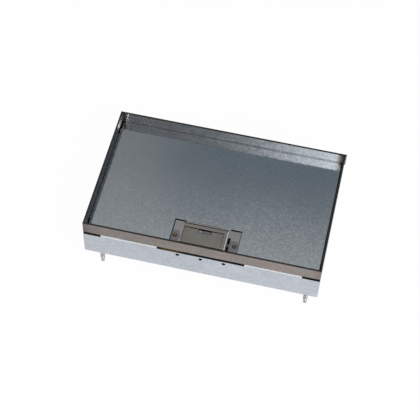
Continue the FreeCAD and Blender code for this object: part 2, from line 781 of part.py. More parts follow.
def socket_bracket():
    body = doc.addObject("PartDesign::Body", "socket_bracket")
    top = f"({tub_inside} + {bracket_height})"
    profile = [
        (f"{bracket_y} - bracket_foot", tub_inside),
        (f"{bracket_y} + bracket_sheet", tub_inside),
        (f"{bracket_y} + bracket_sheet", f"{top} - bracket_sheet"),
        (f"{bracket_y} + bracket_top", f"{top} - bracket_sheet"),
        (f"{bracket_y} + bracket_top", top),
        (bracket_y, top),
        (bracket_y, f"{tub_inside} + bracket_sheet"),
        (f"{bracket_y} - bracket_foot", f"{tub_inside} + bracket_sheet"),
    ]
    pad(body, "bracket_strip", "YZ_Plane", "-bracket_half_length", [polygon(profile)],
        "2 * bracket_half_length")
    reach = "(module_body / 2 + module_play)"
    low_z, high_z = f"{module_z} - {reach}", f"{module_z} + {reach}"
    windows = [rectangle(f"{x} - {reach}", low_z, f"{x} + {reach}", high_z)
               for x in module_places()[1]]
    pocket(body, "module_windows", "XZ_Plane", f"-{bracket_y}", windows, "bracket_sheet")
    holes = [disc(x, foot_screw_y(), "foot_screw_radius + hole_play") for x in bracket_screw_places()]
    pocket(body, "bracket_holes", "XY_Plane", f"{tub_inside} + bracket_sheet", holes, "bracket_sheet")
    keep("socket_bracket", body)


def foot_screw_y():
    return f"({bracket_y} - bracket_foot / 2)"


def bracket_screw_places():
    end = "(bracket_half_length - foot_screw_inset)"
    return [f"-{end}", "(module_first_x + 1.5 * module_pitch)", end]


def framed_module(name, x, holes, depth):
    body = doc.addObject("PartDesign::Body", name)
    face = "(module_face / 2)"
    plate = rectangle(f"{x} - {face}", f"{module_z} - {face}", f"{x} + {face}", f"{module_z} + {face}")
    pad(body, name + "_face", "XZ_Plane", f"-{bracket_y}", [plate], "face_thick")
    round_edges(body, name + "_corners", "module_corner", lambda edge: runs_along(edge, 1))
    reach = "(module_body / 2)"
    back = rectangle(f"{x} - {reach}", f"{module_z} - {reach}", f"{x} + {reach}", f"{module_z} + {reach}")
    pad(body, name + "_back", "XZ_Plane", f"-{bracket_y}", [back], depth, True)
    for number, (shapes, deep) in enumerate(holes):
        lift = f"face_thick - {bracket_y}"
        pocket(body, f"{name}_opening_{number}", "XZ_Plane", lift, shapes, deep)
    keep(name, body)


# Four power sockets, with earth clips and contact sleeves inside them
def power_sockets():
    clips = []
    sleeves = []
    front = f"({bracket_y} - face_thick)"
    for number, x in enumerate(module_places()[0], start=1):
        pins = [f"({x} - pin_hole_pitch / 2)", f"({x} + pin_hole_pitch / 2)"]
        recess = [disc(x, module_z, "socket_radius")]
        pin_holes = [disc(pin_x, module_z, "pin_hole_radius") for pin_x in pins]
        framed_module(f"power_socket_{number}", x,
                      [(recess, "socket_depth"), (pin_holes, "socket_depth + pin_hole_depth")],
                      "module_deep")
        for side, word in ((-1, "low"), (1, "high")):
            seat = "(socket_radius - earth_clip_seat)"
            under = f"({seat} - earth_clip_thick)"
            low, high = (under, seat) if side > 0 else (f"-{seat}", f"-{under}")
            start = f"{front} + earth_clip_start"
            clips.append(block(f"earth_clip_{number}_{word}",
                               (f"{x} - earth_clip_width / 2", start, f"{module_z} + {low}"),
                               (f"{x} + earth_clip_width / 2", f"{start} + earth_clip_length",
                                f"{module_z} + {high}")))
        for pin_number, pin_x in enumerate(pins):
            start = (pin_x, f"{front} + socket_depth", module_z)
            outer = rod(f"sleeve_{number}_{pin_number}", start, "pin_hole_radius - running_gap",
                        "pin_hole_depth", "y")
            inner = rod(f"sleeve_bore_{number}_{pin_number}", start,
                        "pin_hole_radius - running_gap - contact_wall", "pin_hole_depth", "y")
            sleeves.append(cut(f"contact_sleeve_{number}_{pin_number}", outer, inner))
    keep("earth_clips", group("earth_clips", clips))
    keep("contact_sleeves", group("contact_sleeves", sleeves))


# Data module with two jacks, and a blanking plate in the last place
def data_modules():
    jack_x = [f"(data_x + {side} * jack_pitch / 2)" for side in (-1, 1)]
    across, up = "(jack_width / 2 + module_play)", "(jack_height / 2 + module_play)"
    windows = [rectangle(f"{x} - {across}", f"{module_z} - {up}", f"{x} + {across}", f"{module_z} + {up}")
               for x in jack_x]
    framed_module("data_module", "data_x", [(windows, "module_deep + face_thick")], "module_deep / 2")
    framed_module("blank_module", "blank_x", [], "module_deep / 4")
    jacks = []
    front = f"({bracket_y} - face_thick + jack_set_back)"
    for number, x in enumerate(jack_x):
        shell = block(f"jack_shell_{number}",
                      (f"{x} - jack_width / 2", front, f"{module_z} - jack_height / 2"),
                      (f"{x} + jack_width / 2", f"{front} + jack_depth", f"{module_z} + jack_height / 2"))
        mouth = block(f"jack_mouth_{number}",
                      (f"{x} - jack_mouth_width / 2", f"{front} - jack_set_back",
                       f"{module_z} - jack_mouth_height / 2"),
                      (f"{x} + jack_mouth_width / 2", f"{front} + jack_mouth_depth",
                       f"{module_z} + jack_mouth_height / 2"))
        jacks.append(cut(f"data_jack_{number}", shell, mouth))
    keep("data_jacks", group("data_jacks", jacks))


# Partition between the power and data sides of the tub
def partition():
    body = doc.addObject("PartDesign::Body", "partition_plate")
    top = f"({tub_inside} + partition_height)"
    profile = [
        ("partition_x", tub_inside),
        ("partition_x + partition_foot", tub_inside),
        ("partition_x + partition_foot", f"{tub_inside} + partition_sheet"),
        ("partition_x + partition_sheet", f"{tub_inside} + partition_sheet"),
        ("partition_x + partition_sheet", top),
        ("partition_x", top),
    ]
    end = f"({bracket_y} - bracket_foot - module_play)"
    pad(body, "partition_strip", "XZ_Plane", "-partition_front", [polygon(profile)],
        f"{end} - partition_front", True)
    holes = [disc(*spot, "foot_screw_radius + hole_play") for spot in partition_screw_places()]
    pocket(body, "partition_holes", "XY_Plane", f"{tub_inside} + partition_sheet", holes, "partition_sheet")
    keep("partition_plate", body)


def partition_screw_places():
    x = "(partition_x + partition_sheet + partition_foot / 2)"
    return [(x, "(partition_front + foot_screw_inset)"),
            (x, f"({bracket_y} - bracket_foot - foot_screw_inset)")]


# Pan-head screws that hold the bracket and the partition to the tub floor
def foot_screws():
    spots = [(x, foot_screw_y(), "bracket_sheet") for x in bracket_screw_places()]
    spots += [(x, y, "partition_sheet") for x, y in partition_screw_places()]
    screws = []
    for number, (x, y, sheet_under) in enumerate(spots):
        head = rod(f"foot_head_{number}", (x, y, f"{tub_inside} + {sheet_under}"),
                   "foot_head_radius", "foot_head_height")
        shank = rod(f"foot_shank_{number}", (x, y, tub_inside), "foot_screw_radius", sheet_under)
        slot = block(f"foot_slot_{number}",
                     (f"{x} - foot_head_radius", f"{y} - slot_half_width",
                      f"{tub_inside} + {sheet_under} + foot_head_height / 2"),
                     (f"{x} + foot_head_radius", f"{y} + slot_half_width",
                      f"{tub_inside} + {sheet_under} + foot_head_height"))
        screws.append(cut(f"foot_screw_{number}", join(f"foot_screw_blank_{number}", [head, shank]), slot))
    keep("foot_screws", group("foot_screws", screws))


# Terminal block with its brass screws
left_wall_x = f"(terminal_inset - {half_x})"
poles = 5
terminal_half_length = f"({poles} * terminal_pitch / 2 + terminal_end)"
terminal_y = f"({bracket_y} - bracket_foot - terminal_gap - {terminal_half_length})"


def terminals():
    x, y = left_wall_x, terminal_y
    top = f"({tub_inside} + terminal_height)"
    shell = block("terminal_shell",
                  (f"{x} - terminal_width / 2", f"{y} - {terminal_half_length}", tub_inside),
                  (f"{x} + terminal_width / 2", f"{y} + {terminal_half_length}", top))
    bores = []
    screws = []
    for pole in range(poles):
        pole_y = f"({y} + ({pole} - ({poles} - 1) / 2) * terminal_pitch)"
        bores.append(rod(f"terminal_wire_bore_{pole}",
                         (f"{x} - terminal_width / 2", pole_y, f"{tub_inside} + terminal_height / 3"),
                         "terminal_bore", "terminal_width", "x"))
        well = f"({top} - 2 * terminal_screw_height)"
        bores.append(rod(f"terminal_well_{pole}", (x, pole_y, well),
                         "terminal_screw_radius + running_gap", "2 * terminal_screw_height"))
        blank = rod(f"terminal_screw_blank_{pole}", (x, pole_y, well),
                    "terminal_screw_radius", "terminal_screw_height")
        slot = block(f"terminal_slot_{pole}",
                     (f"{x} - terminal_screw_radius", f"{pole_y} - slot_half_width",
                      f"{well} + terminal_screw_height / 2"),
                     (f"{x} + terminal_screw_radius", f"{pole_y} + slot_half_width",
                      f"{well} + terminal_screw_height"))
        screws.append(cut(f"terminal_screw_{pole}", blank, slot))
    keep("terminal_block", cut("terminal_block", shell, join("terminal_bores", bores)))
    keep("terminal_screws", group("terminal_screws", screws))


# Earth stud welded to the tub floor, with its washer and nut
def earthing():
    x, y = left_wall_x, f"({terminal_y} - {terminal_half_length} - earth_gap)"
    stud = rod("earth_stud", (x, y, tub_inside), "earth_stud_radius", "earth_stud_height")
    keep("earth_stud", stud)
    washer_low = f"({tub_inside} + earth_nut_height)"
    upper_low = f"({washer_low} + earth_washer_height)"
    bore = rod("earth_bore", (x, y, tub_inside), "earth_stud_radius + running_gap", "earth_stud_height")
    parts = [
        hexagon("earth_nut_low", (x, y, tub_inside), "earth_nut_radius", "earth_nut_height"),
        rod("earth_washer", (x, y, washer_low), "earth_washer_radius", "earth_washer_height"),
        hexagon("earth_nut_high", (x, y, upper_low), "earth_nut_radius", "earth_nut_height"),
    ]
    keep("earth_nuts", group("earth_nuts", [cut(part.Name + "_bored", part, bore) for part in parts]))


base_tub()
tub_walls()
rim()
seats()
levelling()
lid_tray()
lid_stiffeners()
outlet_carrier()
cutout_seals()
outlet_clamps()
outlet_box()
outlet_flap()
socket_bracket()
power_sockets()
data_modules()
partition()
foot_screws()
terminals()
earthing()
doc.recompute()

# Check every object and write one file for each node
for item in doc.Objects:
    if "Invalid" in item.State or "Error" in item.State:
        raise RuntimeError("failed: " + item.Name)
os.makedirs("parts", exist_ok=True)
for item in nodes:
    if not item.Shape.isValid() or not item.Shape.Solids:
        raise RuntimeError("bad shape: " + item.Label)
    item.Shape.exportStep(f"parts/{item.Label}.step")
print(len(nodes), "nodes")
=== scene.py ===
import bpy, json, math
from mathutils import Matrix, Vector

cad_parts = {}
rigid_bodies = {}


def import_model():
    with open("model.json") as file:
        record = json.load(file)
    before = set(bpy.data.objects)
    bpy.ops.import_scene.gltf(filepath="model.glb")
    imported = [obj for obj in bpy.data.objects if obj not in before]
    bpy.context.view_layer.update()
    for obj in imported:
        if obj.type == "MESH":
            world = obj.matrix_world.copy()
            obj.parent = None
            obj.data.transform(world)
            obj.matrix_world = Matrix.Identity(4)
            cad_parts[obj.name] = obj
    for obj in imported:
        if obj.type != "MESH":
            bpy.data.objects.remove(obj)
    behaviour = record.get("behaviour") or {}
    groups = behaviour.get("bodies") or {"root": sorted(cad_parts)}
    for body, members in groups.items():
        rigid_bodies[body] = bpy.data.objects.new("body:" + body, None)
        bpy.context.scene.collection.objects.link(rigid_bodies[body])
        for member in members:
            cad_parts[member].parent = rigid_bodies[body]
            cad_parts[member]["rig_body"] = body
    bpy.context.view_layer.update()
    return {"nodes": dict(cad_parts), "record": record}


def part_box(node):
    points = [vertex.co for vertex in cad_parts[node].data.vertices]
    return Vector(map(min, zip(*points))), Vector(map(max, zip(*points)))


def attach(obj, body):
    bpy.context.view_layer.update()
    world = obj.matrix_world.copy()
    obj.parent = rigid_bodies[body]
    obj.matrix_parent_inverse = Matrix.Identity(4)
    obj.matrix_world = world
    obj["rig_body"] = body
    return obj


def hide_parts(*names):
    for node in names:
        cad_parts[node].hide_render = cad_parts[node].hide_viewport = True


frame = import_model()
nodes = frame["nodes"]
slotOf = {part["node"]: part["material_slot"] for part in frame["record"]["subparts"]}
mm = 0.001
print("frame loaded:", len(nodes), "nodes")


# helpers for modelling
def deselect():
    if bpy.context.object and bpy.context.object.mode != "OBJECT":
        bpy.ops.object.mode_set(mode="OBJECT")
    bpy.ops.object.select_all(action="DESELECT")


def pick(*pieces):
    deselect()
    for piece in pieces:
        piece.select_set(True)
    bpy.context.view_layer.objects.active = pieces[0]


def editAll(piece):
    pick(piece)
    bpy.ops.object.mode_set(mode="EDIT")
    bpy.ops.mesh.select_all(action="SELECT")


def leaveEdit():
    bpy.ops.object.mode_set(mode="OBJECT")


def bake(name):
    bpy.ops.object.transform_apply(location=True, rotation=True, scale=True)
    bpy.context.object.name = name
    return bpy.context.object


def addBlock(name, low, high):
    deselect()
    bpy.ops.mesh.primitive_cube_add(size=1, location=[(a + b) / 2 for a, b in zip(low, high)])
    bpy.context.object.scale = [b - a for a, b in zip(low, high)]
    return bake(name)


def finish(piece, kind, **values):
    modifier = piece.modifiers.new(kind.lower(), kind)
    for key, value in values.items():
        setattr(modifier, key, value)
    pick(piece)
    bpy.ops.object.modifier_apply(modifier=modifier.name)
    return piece


def combine(piece, other, operation="DIFFERENCE"):
    finish(piece, "BOOLEAN", object=other, operation=operation, solver="EXACT")
    bpy.data.objects.remove(other, do_unlink=True)
    return piece


def copyOf(piece, name, shift=(0, 0, 0)):
    twin = piece.copy()
    twin.data = piece.data.copy()
    twin.name = name
    bpy.context.scene.collection.objects.link(twin)
    twin.hide_viewport = twin.hide_render = False
    twin.hide_set(False)
    twin.data.transform(Matrix.Translation(shift))
    return twin


def joinAll(name, pieces):
    pick(*pieces)
    if len(pieces) > 1:
        bpy.ops.object.join()
    bpy.context.object.name = name
    return bpy.context.object


def cleanUp(piece, gap=0.002 * mm):
    editAll(piece)
    bpy.ops.mesh.remove_doubles(threshold=gap)
    bpy.ops.mesh.normals_make_consistent(inside=False)
    leaveEdit()
    return piece


def smooth(piece, degrees=35):
    pick(piece)
    bpy.ops.object.shade_smooth_by_angle(angle=math.radians(degrees))
    return piece


# draws (radius, height) points as a chain of edges, which stays open in edit mode
def drawProfile(points):
    deselect()
    bpy.ops.mesh.primitive_plane_add(size=mm)
    piece = bpy.context.object
    editAll(piece)
    bpy.ops.mesh.merge(type="CENTER")
    spot = Vector((points[0][0], 0, points[0][1]))
    bpy.ops.transform.translate(value=spot)
    for radius, level in points[1:]:
        there = Vector((radius, 0, level))
        bpy.ops.mesh.extrude_region_move(TRANSFORM_OT_translate={"value": there - spot})
        spot = there
    bpy.ops.mesh.select_all(action="SELECT")
    return piece


# a round piece: its half profile is spun about the z axis
def lathe(name, profile, steps):
    drawProfile(profile)
    bpy.ops.mesh.spin(steps=steps, angle=2 * math.pi, center=(0, 0, 0), axis=(0, 0, 1))
    leaveEdit()
    return cleanUp(bake(name))


def turnedPiece(name, place, profile, steps=40):
    piece = lathe(name, profile, steps)
    piece.data.transform(Matrix.Translation((place[0], place[1], 0)))
    return piece


softEdge = {"segments": 2, "bevelAbove": 30, "smoothBelow": 50, "flatBelow": 0.5}   # angles in degrees


def soften(piece, width, clamp=True):
    finish(piece, "BEVEL", width=width, segments=softEdge["segments"], limit_method="ANGLE",
           angle_limit=math.radians(softEdge["bevelAbove"]), use_clamp_overlap=clamp)
    smooth(piece, softEdge["smoothBelow"])
    return finish(piece, "WEIGHTED_NORMAL", keep_sharp=True)


# a copy of a CAD solid, merged so that its edges can be eased
def easedCopy(node, width):
    piece = copyOf(nodes[node], node + "_eased")
    piece.parent = None
    cleanUp(piece)
    editAll(piece)
    bpy.ops.mesh.dissolve_limited(angle_limit=math.radians(softEdge["flatBelow"]))
    leaveEdit()
    return soften(piece, width, clamp=False)


# lowest and highest corner of each loose solid of a CAD node
def solidBoxes(node):
    editAll(cleanUp(copyOf(nodes[node], "probe"), 0.0005 * mm))
    bpy.ops.mesh.separate(type="LOOSE")
    leaveEdit()
    boxes = []
    for part in list(bpy.context.selected_objects):
        spots = [v.co for v in part.data.vertices]
        boxes.append((Vector([min(s[i] for s in spots) for i in range(3)]),
                      Vector([max(s[i] for s in spots) for i in range(3)])))
        bpy.data.objects.remove(part, do_unlink=True)
    return sorted(boxes, key=lambda box: (round(box[0].x, 4), round(box[0].y, 4), box[0].z))


# centre, foot, top and radius of a node's first solid, and the ways from it to the others
def firstSolid(node):
    boxes = solidBoxes(node)
    low, high = boxes[0]
    centre = ((low.x + high.x) / 2, (low.y + high.y) / 2)
    return centre, low.z, high.z, (high.x - low.x) / 2, [box[0] - low for box in boxes[1:]]


def repeat(piece, ways):
    return [piece] + [copyOf(piece, piece.name + "_copy", way) for way in ways]


def settle(piece, body, slot, material, *replaced):
    if material:
        piece.data.materials.clear()
        piece.data.materials.append(material)
    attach(piece, body)
    if replaced:
        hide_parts(*replaced)
    return piece


# helpers for shader trees
midTones = (0.3, 0.7)   # the part of a noise's range that shows
whole = (0, 1)


def newMaterial(name, **settings):
    mat = bpy.data.materials.new(name)
    mat.use_nodes = True
    shader = mat.node_tree.nodes["Principled BSDF"]
    for socket, value in settings.items():
        shader.inputs[socket.replace("_", " ")].default_value = value
    return mat, mat.node_tree, shader


def addNode(tree, kind, **values):
    node = tree.nodes.new(kind)
    for key, value in values.items():
        if hasattr(node, key):
            setattr(node, key, value)
        else:
            node.inputs[key.replace("_", " ")].default_value = value
    return node


# links a value that comes from a node, and sets one that doesn't
def feed(tree, socket, value):
    if isinstance(value, bpy.types.NodeSocket):
        tree.links.new(value, socket)
    elif value is not None:
        socket.default_value = value


def dress(tree, shader, colour, gloss):
    tree.links.new(colour, shader.inputs["Base Color"])
    tree.links.new(gloss, shader.inputs["Roughness"])


def objectCoords(tree, stretch=(1, 1, 1)):
    coords = addNode(tree, "ShaderNodeTexCoord")
    mapping = addNode(tree, "ShaderNodeMapping", Scale=stretch)
    tree.links.new(coords.outputs["Object"], mapping.inputs["Vector"])
    return mapping.outputs["Vector"]


def noise(tree, vector, scale, detail=3.0, roughness=0.5):
    node = addNode(tree, "ShaderNodeTexNoise", Scale=scale, Detail=detail, Roughness=roughness)
    tree.links.new(vector, node.inputs["Vector"])
    return node.outputs["Fac"]


def brushLines(tree, stretch):
    return noise(tree, objectCoords(tree, stretch), 1.0, detail=4, roughness=0.65)


def ramp(tree, value, stops):
    node = addNode(tree, "ShaderNodeValToRGB")
    points = node.color_ramp.elements
    while len(points) < len(stops):
        points.new(0.5)
    for point, (place, colour) in zip(points, stops):
        point.position = place
        point.color = (*colour, 1)
    tree.links.new(value, node.inputs["Fac"])
    return node.outputs["Color"]


# goes from low to high while the value goes through the span
def remap(tree, value, span, low=0, high=1, ease=False):
    node = addNode(tree, "ShaderNodeMapRange")
    node.interpolation_type = "SMOOTHSTEP" if ease else "LINEAR"
    for index, number in enumerate((*span, low, high), start=1):
        node.inputs[index].default_value = number
    tree.links.new(value, node.inputs[0])
    return node.outputs[0]


# the same for a coordinate, with the span in mm from a base in metres
def byPlace(tree, value, span, low=0, high=1, ease=False, base=0):
    return remap(tree, value, [base + number * mm for number in span], low, high, ease)


def mixColour(tree, factor, first, second, blend="MIX"):
    node = addNode(tree, "ShaderNodeMix", data_type="RGBA", blend_type=blend)
    feed(tree, node.inputs[0], factor)
    for socket, colour in ((node.inputs[6], first), (node.inputs[7], second)):
        feed(tree, socket, (*colour, 1) if isinstance(colour, tuple) else colour)
    return node.outputs[2]


def compute(tree, operation, first, second=None, third=None):
    node = addNode(tree, "ShaderNodeMath", operation=operation)
    for socket, value in zip(node.inputs, (first, second, third)):
        feed(tree, socket, value)
    return node.outputs[0]


def plus(tree, first, second):
    return compute(tree, "ADD", first, second)


def minus(tree, first, second):
    return compute(tree, "SUBTRACT", first, second)


def times(tree, first, second):
    return compute(tree, "MULTIPLY", first, second)


def lower(tree, first, second):
    return compute(tree, "MINIMUM", first, second)


def higher(tree, first, second):
    return compute(tree, "MAXIMUM", first, second)


def sizeOf(tree, value):
    return compute(tree, "ABSOLUTE", value)


def computeVector(tree, operation, first, second=None, scale=None):
    node = addNode(tree, "ShaderNodeVectorMath", operation=operation)
    feed(tree, node.inputs[0], first)
    feed(tree, node.inputs[1], second)
    if scale is not None:
        node.inputs["Scale"].default_value = scale
    return node.outputs[0]


def bump(tree, shader, height, strength, depth):
    node = addNode(tree, "ShaderNodeBump", Strength=strength, Distance=depth * mm)
    tree.links.new(height, node.inputs["Height"])
    tree.links.new(node.outputs["Normal"], shader.inputs["Normal"])
    return node


def axes(tree, vector):
    node = addNode(tree, "ShaderNodeSeparateXYZ")
    tree.links.new(vector, node.inputs[0])
    return node.outputs


# zinc-coated sheet: crystals that each catch the light a little differently
zincGrain = {"wobble": 900, "cloud": 1.7, "bend": 1.1,   # for crystals of size one
             "patches": 9, "step": 0.6, "ripple": 0.4, "depth": 0.2}
smoothZinc = {"cell": 420, "spread": 0.45, "gloss": (0.08, 0.14), "uneven": 0.015, "relief": 0.05,
              "tilt": 0.014, "patch": 0.1}
dullZinc = {"cell": 230, "spread": 0.5, "gloss": (0.36, 0.46), "uneven": 0.04, "relief": 0.1, "tilt": 0.05}


def zincMaterial(name, dark, light, cell, spread, gloss, uneven, relief, tilt, patch, tint=None):
    g = zincGrain
    mat, tree, shader = newMaterial(name, Metallic=1.0)
    spot = objectCoords(tree)
    wobble = noise(tree, spot, g["wobble"] * cell, detail=2)
    cloud = addNode(tree, "ShaderNodeTexNoise", Scale=cell * g["cloud"], Detail=2.0)
    tree.links.new(spot, cloud.inputs["Vector"])
    nudge = computeVector(tree, "SCALE", cloud.outputs["Color"], scale=g["bend"] / cell)
    crystals = addNode(tree, "ShaderNodeTexVoronoi", Scale=cell)
    tree.links.new(computeVector(tree, "ADD", spot, nudge), crystals.inputs["Vector"])
    cells = axes(tree, crystals.outputs["Color"])
    patches = noise(tree, spot, g["patches"], detail=4, roughness=0.55)
    mixed = compute(tree, "MULTIPLY_ADD", cells[0], spread, 0.5 - spread / 2)
    mixed = plus(tree, mixed, remap(tree, patches, midTones, -patch, patch))
    colour = mixColour(tree, mixed, dark, light)
    if tint:
        colour = tint(tree, spot, colour)
    dress(tree, shader, colour, plus(tree, remap(tree, cells[1], whole, *gloss),
                                     remap(tree, patches, midTones, -uneven, uneven)))
    height = plus(tree, remap(tree, cells[2], whole, 0, g["step"]), times(tree, wobble, g["ripple"]))
    ripple = bump(tree, shader, height, relief, g["depth"])
    lean = computeVector(tree, "SUBTRACT", crystals.outputs["Color"], (0.5, 0.5, 0.5))
    lean = computeVector(tree, "SCALE", lean, scale=tilt)
    geometry = addNode(tree, "ShaderNodeNewGeometry")
    leaning = computeVector(tree, "NORMALIZE", computeVector(tree, "ADD", geometry.outputs["Normal"], lean))
    tree.links.new(leaning, ripple.inputs["Normal"])
    return mat


# brushed steel, with fine streaks along one axis
brushing = {"across": 900, "along": 9, "clouds": 22, "cloudy": 0.35, "relief": 0.08, "depth": 0.05}


def brushedMaterial(name, dark, light, along, gloss, tint=None):
    b = brushing
    mat, tree, shader = newMaterial(name, Metallic=1.0)
    lines = brushLines(tree, [b["along"] if axis == along else b["across"] for axis in "XYZ"])
    spot = objectCoords(tree)
    clouds = noise(tree, spot, b["clouds"], detail=5, roughness=0.6)
    mixed = plus(tree, remap(tree, lines, (0.25, 0.75), *midTones),
                 remap(tree, clouds, midTones, -b["cloudy"], b["cloudy"]))
    colour = mixColour(tree, mixed, dark, light)
    if tint:
        colour = tint(tree, spot, colour)
    dress(tree, shader, colour, remap(tree, lines, (0.2, 0.8), *gloss))
    bump(tree, shader, lines, b["relief"], b["depth"])
    return mat


def plainMetal(name, dark, light, gloss, scale=60):
    mat, tree, shader = newMaterial(name, Metallic=1.0)
    clouds = noise(tree, objectCoords(tree), scale, detail=5, roughness=0.6)
    dress(tree, shader, mixColour(tree, remap(tree, clouds, midTones), dark, light),
          remap(tree, clouds, midTones, *gloss))
    bump(tree, shader, clouds, strength=0.1, depth=0.1)
    return mat


def mouldedMaterial(name, dark, light, gloss, grain=2400, relief=0.15):
    mat, tree, shader = newMaterial(name)
    spot = objectCoords(tree)
    fine = noise(tree, spot, grain, roughness=0.6)
    clouds = noise(tree, spot, 30)
    dress(tree, shader, mixColour(tree, remap(tree, clouds, midTones), dark, light),
          remap(tree, fine, midTones, *gloss))
    bump(tree, shader, fine, relief, depth=0.08)
    return mat


# where the seat bars leave slots under the rim
seatEnds = sorted(corner.x for box in solidBoxes("seat_bars_front") for corner in box)
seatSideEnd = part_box("seat_bar_left")[1].y
beforeEnd, pastEnd = (0.1, -0.1), (-0.1, 0.1)   # mm from a seat bar's end
halfX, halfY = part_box("base_tub")[1].x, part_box("tub_wall_back")[1].y


def slotSpans(tree, place):
    acrossX, acrossY = (sizeOf(tree, place[i]) for i in (0, 1))
    middle = byPlace(tree, acrossX, beforeEnd, base=seatEnds[2])
    ends = byPlace(tree, acrossX, pastEnd, base=seatEnds[3])
    sides = byPlace(tree, acrossY, pastEnd, base=seatSideEnd)
    return lower(tree, higher(tree, middle, ends), sides)


# rim bars: rolled steel outside, brighter inside, heat tints near the welded corners
rimLook = {
    "along": 9, "across": 700, "up": 900, "clouds": 26, "blots": 230, "relief": 0.07, "depth": 0.05,
    "lines": (0.3, 0.7), "cloudy": 0.22, "blotchy": 0.3, "blotSpan": (0.35, 0.65),
    "inside": (-20, -10), "facingUp": (0.15, 0.45), "facingBack": (-0.8, -0.3), "backShare": 0.6,
    "darkEdging": (-1.4, -0.8), "darkEdgingShare": 0.7, "innerEdge": (-1.3, -0.7), "edgeShare": 0.8,   # mm from the top
    "darkening": (1.2, 0.9),   # mm from the lower edge
    "heatX": (-16, -5), "heatY": (-19, -6), "heatCloud": (0.35, 0.6), "heatLeast": 0.2, "heatAbove": 0.4,
    "glossOutside": 0.3, "glossInside": 0.12, "glossLines": 0.08, "glossBurnt": 0.35,
}
rimColours = {
    "leftDark": (0.18, 0.154, 0.144), "rightDark": (0.24, 0.21, 0.196),
    "leftLight": (0.26, 0.225, 0.21), "rightLight": (0.34, 0.296, 0.276),
    "backDark": (0.19, 0.185, 0.183), "backLight": (0.28, 0.274, 0.272),
    "innerDark": (0.50, 0.505, 0.525), "innerLight": (0.66, 0.665, 0.68), "innerEdge": (0.02, 0.019, 0.018),
    "topDark": (0.045, 0.042, 0.040), "topLight": (0.105, 0.098, 0.092), "darkening": (0.012, 0.011, 0.010),
    "straw": [(0.0, (1, 1, 1)), (0.35, (0.80, 0.73, 0.65)), (0.65, (0.42, 0.37, 0.34)),
              (0.85, (0.14, 0.14, 0.16)), (1.0, (0.11, 0.10, 0.095))],
}


def rimMaterial(name):
    look, tones = rimLook, rimColours
    rimFoot, rimTop = (corner.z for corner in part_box("rim_bar_front"))
    mat, tree, shader = newMaterial(name, Metallic=1.0)
    spot = objectCoords(tree)
    place = axes(tree, spot)
    facing = axes(tree, addNode(tree, "ShaderNodeNewGeometry").outputs["True Normal"])
    inward = plus(tree, times(tree, place[0], facing[0]), times(tree, place[1], facing[1]))
    inside = byPlace(tree, inward, look["inside"], 1, 0)
    above = remap(tree, facing[2], look["facingUp"])
    alongX = sizeOf(tree, facing[1])
    linesX = brushLines(tree, (look["along"], look["across"], look["up"]))
    linesY = brushLines(tree, (look["across"], look["along"], look["up"]))
    lines = plus(tree, times(tree, linesX, alongX), times(tree, linesY, minus(tree, 1.0, alongX)))
    clouds = noise(tree, spot, look["clouds"], detail=5, roughness=0.62)
    blots = noise(tree, spot, look["blots"], detail=4, roughness=0.6)
    mixed = plus(tree, remap(tree, lines, midTones, *look["lines"]),
                 remap(tree, clouds, midTones, -look["cloudy"], look["cloudy"]))
    mixed = plus(tree, mixed, remap(tree, blots, look["blotSpan"], -look["blotchy"], look["blotchy"]))

    # the front and the sides, with painted light that makes them lighter to the right, and the cleaner back
    paintedLightRightward = remap(tree, place[0], (-halfX, halfX))
    outside = mixColour(tree, mixed, mixColour(tree, paintedLightRightward, tones["leftDark"], tones["rightDark"]),
                        mixColour(tree, paintedLightRightward, tones["leftLight"], tones["rightLight"]))
    cleaner = remap(tree, facing[1], look["facingBack"], 0, look["backShare"])
    outside = mixColour(tree, cleaner, outside, mixColour(tree, mixed, tones["backDark"], tones["backLight"]))
    # a darker band along the top edge, and painted shade of the slots along the lower one
    darkEdging = byPlace(tree, place[2], look["darkEdging"], 0, look["darkEdgingShare"], base=rimTop)
    # painted shade: the outer face darkens along its lower edge above the slots
    darkening = times(tree, slotSpans(tree, place), byPlace(tree, place[2], look["darkening"], base=rimFoot))
    outside = mixColour(tree, higher(tree, darkEdging, darkening), outside, tones["darkening"])

    inner = mixColour(tree, mixed, tones["innerDark"], tones["innerLight"])
    innerEdge = byPlace(tree, place[2], look["innerEdge"], 0, look["edgeShare"], base=rimTop)
    inner = mixColour(tree, innerEdge, inner, tones["innerEdge"])
    colour = mixColour(tree, inside, outside, inner)
    colour = mixColour(tree, above, colour, mixColour(tree, mixed, tones["topDark"], tones["topLight"]))

    # heat tints fade out between one and two centimetres from each corner
    burnt = times(tree, byPlace(tree, sizeOf(tree, place[0]), look["heatX"], ease=True, base=halfX),
                  byPlace(tree, sizeOf(tree, place[1]), look["heatY"], ease=True, base=halfY))
    cloudy = remap(tree, clouds, look["heatCloud"], look["heatLeast"], 1)
    straw = ramp(tree, times(tree, burnt, cloudy), tones["straw"])
    colour = mixColour(tree, higher(tree, inside, times(tree, above, look["heatAbove"])), colour,
                       mixColour(tree, 1.0, colour, straw, "MULTIPLY"))
    gloss = plus(tree, remap(tree, inside, whole, look["glossOutside"], look["glossInside"]),
                 remap(tree, lines, midTones, 0, look["glossLines"]))
    dress(tree, shader, colour, plus(tree, gloss, times(tree, burnt, look["glossBurnt"])))
    bump(tree, shader, lines, look["relief"], look["depth"])
    return mat


# the box's upright corners are welded and ground, which leaves a darker line
tubMarks = {
    "corner": (-1.2, 0.4), "wall": (-2.5, -0.5), "lip": (-1.2, -0.9),   # mm from the box's side, back and top
    "leftward": (100, -100), "leftShares": (0.35, 0.85), "darkerLeftmost": 0.1,
    "holePitch": 39, "holeDrop": 6.8, "holeRing": (3.4, 3.0), "holeWall": (2.5, 1.5),   # mm
    "weld": (0.13, 0.115, 0.10), "darkerLeft": (0.30, 0.29, 0.28), "dark": (0.012, 0.012, 0.013),
}


